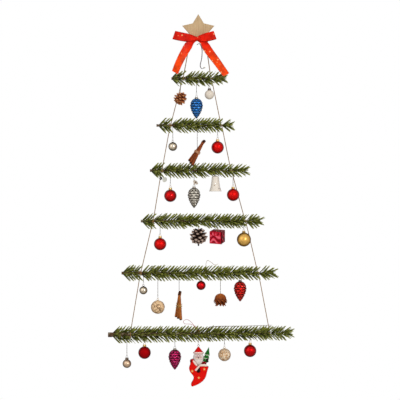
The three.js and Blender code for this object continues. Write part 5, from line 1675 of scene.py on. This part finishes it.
def pressed_in(*corner):
    spot = np.array(Vector(corner)) / GIFT_SIZE
    axis = int(np.argmax(np.abs(spot)))
    u, v = [float(value) for index, value in enumerate(spot) if index != axis]
    margin = min(1, max(0, (0.46 - max(abs(u), abs(v))) / 0.05))
    height = pressed(u, v) * margin + 0.35 * (1 - margin)
    inward = 0.0011 * (1 - height) * margin
    return *(Vector(corner) * (1 - inward / half)), height


box = with_modifier(primitive("cube", size=GIFT_SIZE), "BEVEL", width=0.0012, segments=2)
edit(box)
bpy.ops.mesh.subdivide(number_cuts=30)
box = reshaped(done_editing(), pressed_in, "run")
# Faces that do not look to the front take the darker foil, painted shade on the sides of the box.
painted(box, front_foil).data.materials.append(shaded_side_foil)
for face in box.data.polygons:
    face.material_index = 0 if abs(face.normal.y) > 0.6 else 1
smooth(box, 40)

# The toothed fold stands along the front right edge.
points, faces = [], []
for tooth in range(2 * TEETH + 1):
    up = -half + GIFT_SIZE * tooth / (2 * TEETH)
    reach = half + (0.0005 if tooth % 2 else 0.0024)
    points += [(half - 0.0006, -half + 0.0036, up), (reach, -half + 0.0022, up)]
    if tooth:
        faces.append((2 * tooth - 2, 2 * tooth, 2 * tooth + 1, 2 * tooth - 1))
fold_piece = with_modifier(new_piece("fold", points, faces), "SOLIDIFY", thickness=0.0005, offset=0)
gift = placed(joined([box, painted(fold_piece, shaded_side_foil)]), turn=(0, 0, -GIFT_TURN))
low_reach = half * (math.cos(GIFT_TIP) + math.sin(GIFT_TIP) * (math.cos(GIFT_TURN) + math.sin(GIFT_TURN)))
middle = top_of("red_gift") - low_reach
gift = placed(placed(gift, turn=(GIFT_TIP, 0, 0)), (0, 0, middle))
eye = middle + half + 0.0024
hang([gift, wire_ring(eye, cap_gold), *thread_to(eye + 0.0022, split=0.004)], "red_gift", "whole", "red_gift",
     slot="red_foil")

# %% The seed pod
POD_RADIUS, POD_HEIGHT = 0.016, 0.03
pod_wood = cone_wood("pod_wood", srgb(76, 24, 12), srgb(170, 88, 34), srgb(204, 124, 54), 0.6)
pod_top = top_of("seed_pod")
luck = np.random.default_rng(11)
profile = [(0, POD_HEIGHT / 2)]
for angle in np.linspace(0.12, math.pi - 0.2, 26):
    profile.append((POD_RADIUS * math.sin(angle), POD_HEIGHT / 2 * math.cos(angle)))
profile.append((0, -POD_HEIGHT / 2 + 0.001))


# The fourth number makes the pod darker towards the bottom and a little lighter on its ribs.
def ribbed(x, y, z):
    low = min(1, max(0, 0.5 - z / POD_HEIGHT))
    rib = math.cos(8 * math.atan2(y, x))
    shrink = 1 - (0.015 + 0.05 * low) * (1 - rib) / 2 - 0.02 * math.sin(21 * math.atan2(y, x) + 900 * z)
    return x * shrink, y * shrink, z, 0.75 - 0.95 * low ** 1.3 + 0.1 * rib * (1 - low)


pod = reshaped(spun(profile, 64), ribbed, "run")
moves = []
for row, (angle, count, pitch) in enumerate(((1.62, 10, 74), (1.92, 9, 62), (2.2, 8, 54), (2.45, 7, 56))):
    root = (POD_RADIUS * math.sin(angle) * 0.88, 0, POD_HEIGHT / 2 * math.cos(angle) + 0.003)
    for column in range(count):
        turn = 2 * math.pi * (column + 0.5 * (row % 2)) / count
        moves.append(scale_at(root, turn, math.radians(pitch), (0.0078, 0.0058, 0.0038)))
for reach, count in ((0.0096, 8), (0.0034, 4)):
    for column in range(count):
        turn = 2 * math.pi * (column + luck.uniform(-0.2, 0.2)) / count
        pitch = math.radians(luck.uniform(60, 84))
        moves.append(scale_at((reach, 0, -0.0095), turn, pitch, (0.0108, 0.0046, 0.0036)))
scales = scattered(woody_scale(), moves, luck.random(len(moves)))
# The pod's scales are made darker.
for share in scales.data.attributes["run"].data:
    share.value = 0.78 * share.value - 0.1
pod = placed(joined([pod, scales]), (0, 0, pod_top - POD_HEIGHT / 2))
strand = yarn([(0, 0, 0), (0, 0, pod_top / 2), (0, 0, pod_top - 0.0005)])
hang([smooth(painted(pod, pod_wood), 60), strand], "seed_pod", "whole", "seed_pod", slot="seed_pod")

# %% [markdown]
# ## Carved and sugared balls
# One pale ball has curls cut into it, which are laid in as dark round lines half sunk in the
# surface. Another is covered with coarse pale glitter over a rough skin.

# %% Ball finishes with relief
carved_tan = ball_finish("carved_tan", srgb(240, 204, 160), srgb(150, 112, 74), 0.46, 0.35, (0.35, 0.95),
                         Metallic=0.2)
carved_line = ball_finish("carved_line", srgb(112, 76, 44), srgb(84, 54, 32), 0.6, 0.3)
sugar, tree, shader, place = new_finish("sugar_gold", 0.5, Metallic=0.2)
flakes = glittering(tree, place, srgb(224, 176, 128), srgb(248, 232, 204), 520.0, 0.7, 0.34)
# The ball darkens towards its outline, as painted shade.
rim_shaded = mixed(tree, painted_rim_shade(tree, 0.35, 0.9), flakes["Colour"], srgb(132, 98, 66))
fill(tree, shader, {"Base Color": rim_shaded, "Normal": flakes["Normal"]})

# %% The carved ball
CURL_RADIUS, GLITTER_RADIUS = 0.0185, 0.0175
ARCS = ((-0.75, 1.25, -0.12), (-0.6, 1.35, -0.42), (-0.2, 1.0, -0.72), (-0.95, 0.6, 0.3), (-0.8, 0.9, 0.62),
        (-0.45, 0.5, 0.1), (0.3, 0.6, -0.35), (-0.7, 0.5, -0.9))


def on_ball(radius, right, up, turn):
    """A point of a ball's face, then turned round the ball."""
    spot = Vector((math.sin(right) * math.cos(up), -math.cos(right) * math.cos(up), math.sin(up))) * radius
    return Matrix.Rotation(turn, 3, "Z") @ spot


lines = []
for turn in (0, 2 * math.pi / 3, 4 * math.pi / 3):
    curl = []
    for step in range(40):
        angle = 0.6 + 3.6 * math.pi * step / 39
        size = 0.1 + 0.3 * step / 39
        curl.append(on_ball(CURL_RADIUS, 0.22 + size * math.cos(angle), 0.24 + size * 0.9 * math.sin(angle), turn))
    lines.append(line_tube(curl, 0.00065, 6))
    for start, sweep, lift in ARCS:
        arc = []
        for share in (step / 23 for step in range(24)):
            rise = lift + 0.24 * math.sin(math.pi * share * 1.4 + lift)
            arc.append(on_ball(CURL_RADIUS, start + sweep * share, rise, turn))
        lines.append(line_tube(arc, 0.00055, 6))
relief = painted(joined(lines), carved_line)
ringed_ball("gold_curl_ball", CURL_RADIUS, carved_tan, "gold_curl", cap_gold, extra=[relief])

# %% The sugared ball
luck = np.random.default_rng(5)
sugared = reshaped(ball_shape(GLITTER_RADIUS, neck=0), lambda *spot: Vector(spot) * (1 - luck.uniform(0, 0.022)))
ringed_ball("gold_glitter_ball", GLITTER_RADIUS, sugar, "gold_glitter", cap_gold, shape=sugared)

# %% [markdown]
# ## The stocking figure
# The lowest ornament is a flat painted figure: a bearded head in a pointed hat looks out of a
# curved stocking and holds a small tree. Each part is a piece of its own, painted like glazed clay.
# The face is a plain, calm one: two short dark lids, a round nose and soft cheeks.

# %% Paints of the figure


def glaze(name, colour, rim, roughness=0.34, amount=0.12):
    return ball_finish(name, colour, rim, roughness, amount, (0.3, 0.85), Coat_Weight=0.1)


# Each second colour is painted shade at the rim. The stocking's sides take a darker red, painted shade where they
# turn from the light.
stocking_red = glaze("stocking_red", srgb(224, 14, 6), srgb(120, 2, 4))
shade_red = glaze("stocking_shade_red", srgb(132, 4, 8), srgb(72, 0, 4))
hat_red = glaze("hat_red", srgb(214, 12, 10), srgb(118, 2, 6))
trim_cream = glaze("trim_cream", srgb(238, 218, 200), srgb(216, 178, 160), 0.5)
trim_rose = glaze("trim_rose", srgb(246, 216, 206), srgb(226, 178, 168), 0.5)
mitten_black = glaze("mitten_black", srgb(26, 16, 16), srgb(8, 6, 6), 0.28)
tree_green = glaze("tree_green", srgb(26, 106, 32), srgb(12, 56, 24), 0.4, 0.4)
snow_line = glaze("snow_line", srgb(196, 214, 180), srgb(150, 176, 140), 0.5)
flower_gold = glaze("flower_gold", srgb(236, 138, 52), srgb(206, 96, 30), 0.4)
eye_brown = glaze("eye_brown", srgb(80, 44, 28), srgb(60, 30, 20), 0.4)
head_paint, tree, shader, place = new_finish("head_paint", 0.5)
tint = patchy(tree, place, srgb(228, 216, 210), 260.0, 0.16)
tinted = mixed(tree, value_of(tree, "skin"), tint["Colour"], srgb(206, 160, 154))
# The head greys a little towards its outline, as painted shade.
fill(tree, shader, {"Base Color": mixed(tree, painted_rim_shade(tree, 0.45, 0.95), tinted, srgb(192, 176, 170))})

# %% The figure's measures
STOCKING_WIDTH, STOCKING_HEIGHT, STOCKING_TOP, STOCKING_DEPTH = 0.0545, 0.076, 0.035, 0.018
HAT_RADIUS, HAT_HEIGHT, BRIM_RADIUS = STOCKING_WIDTH * 0.236, 0.017, 0.0022
HEAD_HALF_WIDTH, HEAD_HALF_DEPTH, HEAD_HALF_HEIGHT = STOCKING_WIDTH * 0.264, 0.010, 0.014
HEAD_DROP, BEARD_DROP, TRIM_RADIUS, MITTEN_RADIUS = 0.030, 0.056, 0.0032, 0.0055
TREE_HEIGHT, TREE_RADIUS, TREE_OUT, TREE_DROP = 0.040, STOCKING_WIDTH * 0.165, STOCKING_WIDTH * 0.532, 0.002
TREE_LEAN = math.radians(14)
FRONT = -STOCKING_DEPTH / 2 - TRIM_RADIUS / 2
print("stocking:", STOCKING_WIDTH, "m wide and", STOCKING_HEIGHT, "m high")
STOCKING_SHARES = [
    (-0.26, -0.01), (-0.35, 0.01), (-0.405, 0.09), (-0.42, 0.2), (-0.475, 0.31), (-0.42, 0.46), (-0.27, 0.6),
    (-0.24, 0.69), (-0.3, 0.79), (-0.375, 0.9), (-0.33, 0.985), (-0.23, 0.97), (0.05, 0.88), (0.26, 0.76),
    (0.38, 0.62), (0.44, 0.45), (0.52, 0.27),
]

# %% Roll and ball helpers


def roll(route, radius, finish, ends=0.75):
    """A soft roll along a route, a little thinner at its ends, with round ends."""
    radii = [radius_share(index / 21, ends) for index in range(22)]
    return smooth(painted(line_tube(smooth_line(route, 22), radius, 14, radii=radii), finish), 60)


def radius_share(share, ends):
    side = abs(2 * share - 1)
    return (1 - (1 - ends) * side ** 2) * math.sqrt(max(0.06, 1 - max(0, (side - 0.8) / 0.2) ** 2))


def pressed_ball(size, place, finish, turn=(0, 0, 0)):
    ball = primitive("uv_sphere", place, turn, size, segments=28, ring_count=16, radius=1)
    return smooth(painted(ball, finish), 60)


# %% The stocking
NECK_SHARES = ((0.12, 0.23), (-0.06, 0.25))
FLOWERS = ((-0.0172, 0.0676), (0.0161, 0.0622), (0.001, 0.0858))
outline = [(out * STOCKING_WIDTH, -STOCKING_TOP - down * STOCKING_HEIGHT) for out, down in STOCKING_SHARES]
border = [tuple(point) for point in smooth_line([(x, 0, z) for x, z in outline], 76)]
border += [(out * STOCKING_WIDTH, 0, -STOCKING_TOP - down * STOCKING_HEIGHT) for out, down in NECK_SHARES]
stocking = new_piece("stocking", [(x, -STOCKING_DEPTH / 2, z) for x, _, z in border], [list(range(len(border)))])
edit(stocking)
bpy.ops.mesh.extrude_region_move(TRANSFORM_OT_translate={"value": (0, STOCKING_DEPTH, 0)})
stocking = with_modifier(done_editing(), "BEVEL", width=0.006, segments=7, limit_method="ANGLE",
                         angle_limit=math.radians(50))
# The sides are painted in the darker red, as painted shade.
painted(stocking, stocking_red).data.materials.append(shade_red)
for face in stocking.data.polygons:
    face.material_index = 0 if abs(face.normal.y) > 0.8 else 1
figure_parts = [smooth(stocking, 35)]


def flower(x, drop):
    """Five petals round a button, pressed flat on the front."""
    front = -STOCKING_DEPTH / 2
    petals = []
    for angle in (2 * math.pi * petal / 5 + 0.3 for petal in range(5)):
        place = (x + 0.0021 * math.cos(angle), front - 0.0002, -drop + 0.0021 * math.sin(angle))
        petals.append(pressed_ball((0.0019, 0.0007, 0.0014), place, flower_gold, turn=(0, -angle, 0)))
    return [*petals, pressed_ball((0.0012, 0.001, 0.0012), (x, front - 0.0004, -drop), trim_cream)]


for x, drop in FLOWERS:
    figure_parts += flower(x, drop)
print("parts of the stocking:", len(figure_parts))

# %% Head and beard
profile = [(0, HEAD_HALF_HEIGHT)]
for angle in np.linspace(0.12, math.pi / 2, 12):
    profile.append((math.sin(angle), HEAD_HALF_HEIGHT * math.cos(angle)))
beard_length = BEARD_DROP - HEAD_DROP
for share in np.linspace(0.06, 0.97, 20):
    profile.append(((1 - share ** 3) ** 0.8, -beard_length * share))
profile.append((0, -beard_length))
head = placed(spun(profile, 72), size=(HEAD_HALF_WIDTH, HEAD_HALF_DEPTH, 1))


def bearded(x, y, z):
    in_face = (x / 0.0098) ** 2 + ((z - 0.0012) / 0.0062) ** 2
    face_share = min(1, max(0, 1.35 - in_face)) if y < 0 else 0
    cheek = math.exp(-(((abs(x) - 0.0062) / 0.003) ** 2) - ((z + 0.0012) / 0.0026) ** 2)
    turn = math.atan2(y / HEAD_HALF_DEPTH, x / HEAD_HALF_WIDTH)
    wave = math.sin(17 * turn + 260 * z) * 0.028 + math.sin(9 * turn - 180 * z) * 0.018
    grow = 1 + (1 - face_share) * (wave - 0.02) * (z < 0.004) - 0.06 * face_share
    return x * grow, y * grow, z, min(1, 0.55 * face_share + 0.6 * cheek * (y < 0))


def on_face(side, *spots):
    """Places on the face: across, how far out as a share of its depth, and up from its middle."""
    return [(side * x, -HEAD_HALF_DEPTH * out, -HEAD_DROP + up) for x, out, up in spots]


head = smooth(painted(reshaped(head, bearded, "skin"), head_paint), 50)
figure_head = [placed(head, (0, 0, -HEAD_DROP))]
for side in (-1, 1):
    lid = on_face(side, (0.0022, 0.95, 0.0035), (0.0036, 0.97, 0.0042), (0.005, 0.92, 0.0034))
    whisker = on_face(side, (0.0004, 1.03, -0.0024), (0.0042, 1.0, -0.0036), (0.0082, 0.84, -0.0024))
    figure_head += [roll(lid, 0.0005, eye_brown), roll(whisker, 0.0015, trim_cream, 0.4)]
figure_head.append(pressed_ball((0.0016, 0.0015, 0.0015), on_face(1, (0, 1.02, 0.0002))[0], eye_brown))
print("parts of the head:", len(figure_head))

# %% Hat and brim
hat = spun([(0, 0), (0.0007, -0.0008), (HAT_RADIUS * 0.24, -HAT_HEIGHT * 0.2), (HAT_RADIUS * 0.55, -HAT_HEIGHT * 0.5),
            (HAT_RADIUS * 0.84, -HAT_HEIGHT * 0.8), (HAT_RADIUS, -HAT_HEIGHT),
            (HAT_RADIUS * 0.9, -HAT_HEIGHT - 0.001), (0, -HAT_HEIGHT - 0.001)], 48)


def creased(x, y, z):
    low = -z / HAT_HEIGHT
    crease = 1 + 0.035 * math.sin(5 * math.atan2(y, x) + 9 * low) * low
    return x * crease, y * crease * 0.9, z


figure_head.append(smooth(painted(reshaped(hat, creased), hat_red), 50))
brim = [(HAT_RADIUS * math.cos(angle), HAT_RADIUS * 0.93 * math.sin(angle),
         -HAT_HEIGHT - 0.0012 * math.cos(angle) ** 2) for angle in around(64)]
luck = np.random.default_rng(3)
brim = reshaped(line_tube(brim, BRIM_RADIUS, 14, closed=True),
                lambda *spot: Vector(spot) + Vector(luck.normal(0, 0.00012, 3)))
figure_head.append(smooth(painted(brim, trim_rose), 60))
figure_head.append(pressed_ball((0.0014, 0.0014, 0.0014), (0, 0, -0.0013), trim_rose))
print("parts of the head with its hat:", len(figure_head))

# %% Collar, sleeve and mittens
collar_y = FRONT + 0.0004
figure_arms = [
    roll([(-HEAD_HALF_WIDTH - 0.0004, collar_y + 0.002, -STOCKING_TOP - TRIM_RADIUS), (-0.0098, collar_y, -0.0452),
          (-TRIM_RADIUS, collar_y, -BEARD_DROP + TRIM_RADIUS)], TRIM_RADIUS * 0.85, trim_rose),
    roll([(0.0016, FRONT, -0.0518), (0.012, FRONT + 0.001, -0.0512),
          (STOCKING_WIDTH / 2 - 0.003, FRONT + 0.0015, -0.0524)], TRIM_RADIUS, trim_cream, 0.85),
    roll([(TRIM_RADIUS * 0.9, FRONT, -BEARD_DROP + TRIM_RADIUS), (-0.003, FRONT - 0.0004, -0.0595),
          (-2.7 * TRIM_RADIUS, FRONT, -BEARD_DROP - 3.2 * TRIM_RADIUS)], TRIM_RADIUS * 0.9, trim_rose, 0.95),
    pressed_ball((MITTEN_RADIUS * 0.95, MITTEN_RADIUS * 0.62, MITTEN_RADIUS * 0.92),
                 (0.0004, FRONT + 0.001, -0.0668), mitten_black),
    pressed_ball((0.0021, 0.0025, 0.0046), (0.0022, FRONT + 0.0012, -0.0598), mitten_black, turn=(0, 0.12, 0)),
    pressed_ball((MITTEN_RADIUS * 0.62, MITTEN_RADIUS * 0.8, MITTEN_RADIUS * 1.15),
                 (STOCKING_WIDTH / 2 - TRIM_RADIUS, FRONT / 2, -HEAD_DROP - 1.5 * MITTEN_RADIUS), mitten_black),
    # These two pieces take the stocking's darker shade red.
    pressed_ball((0.0036, 0.0062, 0.0058), (-0.0198, -0.0045, -0.0405), shade_red),
    roll([(0.0085, -0.004, -0.0475), (0.015, -0.0045, -0.045), (0.0225, -0.0045, -0.0465)], 0.0034, shade_red),
]
print("parts of the collar, sleeve and mittens:", len(figure_arms))

# %% The small tree in the hand
figure_tree = []
height = TREE_HEIGHT / 2
for layer in range(3):
    radius = TREE_RADIUS * (layer + 5.5) / 7.5
    fall = layer * height / 2
    cone = spun([(0, -fall), (radius * 0.3, -fall - height * 0.3), (radius * 0.66, -fall - height * 0.68),
                 (radius, -fall - height * 0.97), (radius * 0.93, -fall - height), (0, -fall - height * 0.86)], 40)

    def lobed(x, y, z):
        low = min(1, max(0, (-z - fall) / height))
        wave = math.cos(7 * math.atan2(y, x) + layer)
        lobe = 1 + 0.09 * low ** 2 * wave
        return x * lobe, y * lobe, z - 0.0009 * low ** 4 * wave

    figure_tree.append(smooth(painted(reshaped(cone, lobed), tree_green), 45))
    if layer:
        edge = []
        for angle in around(56):
            reach = radius * 0.80 * (1 + 0.05 * math.cos(7 * angle + layer))
            drop = -fall - height * 0.62 - 0.0008 * math.cos(7 * angle)
            edge.append((reach * math.cos(angle), reach * math.sin(angle), drop))
        figure_tree.append(smooth(painted(line_tube(edge, 0.0011, 8, closed=True), snow_line), 60))
trunk = spun([(0, -TREE_HEIGHT * 0.5), (TREE_RADIUS / 2, -TREE_HEIGHT * 0.5), (TREE_RADIUS / 2, -TREE_HEIGHT * 1.2),
              (0, -TREE_HEIGHT * 1.2)], 20)
figure_tree.append(smooth(painted(trunk, tree_green)))
figure_tree = [placed(part, (TREE_OUT, 0, -TREE_DROP), turn=(0, TREE_LEAN, 0)) for part in figure_tree]
print("parts of the small tree:", len(figure_tree))

# %% Put the figure together
figure_top = top_of("stocking_figure")
figure_pieces = {"stocking": figure_parts, "head": figure_head, "arms": figure_arms, "tree": figure_tree}
for word, parts in figure_pieces.items():
    piece = placed(joined(parts), (0, 0, figure_top))
    nodes = ("stocking_figure",) if word == "stocking" else ()
    made(hung(piece, "stocking_figure"), "figure_" + word, "stocking_figure", *nodes, slot="figure")
figure_thread = twine_finish("figure_thread", srgb(150, 74, 62), srgb(92, 40, 34), 2400.0)
eye = figure_top + 0.0016
hanger = joined([wire_ring(eye, wire_dark), *thread_to(eye + 0.0022, finish=figure_thread)])
made(hung(hanger, "stocking_figure"), "figure_hanger", "stocking_figure", slot="figure")

# %% [markdown]
# ## Close the lesson
# The last cell measures the box round the finished object, leaving out the floor.

# %% Sizes and finish
low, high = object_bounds()
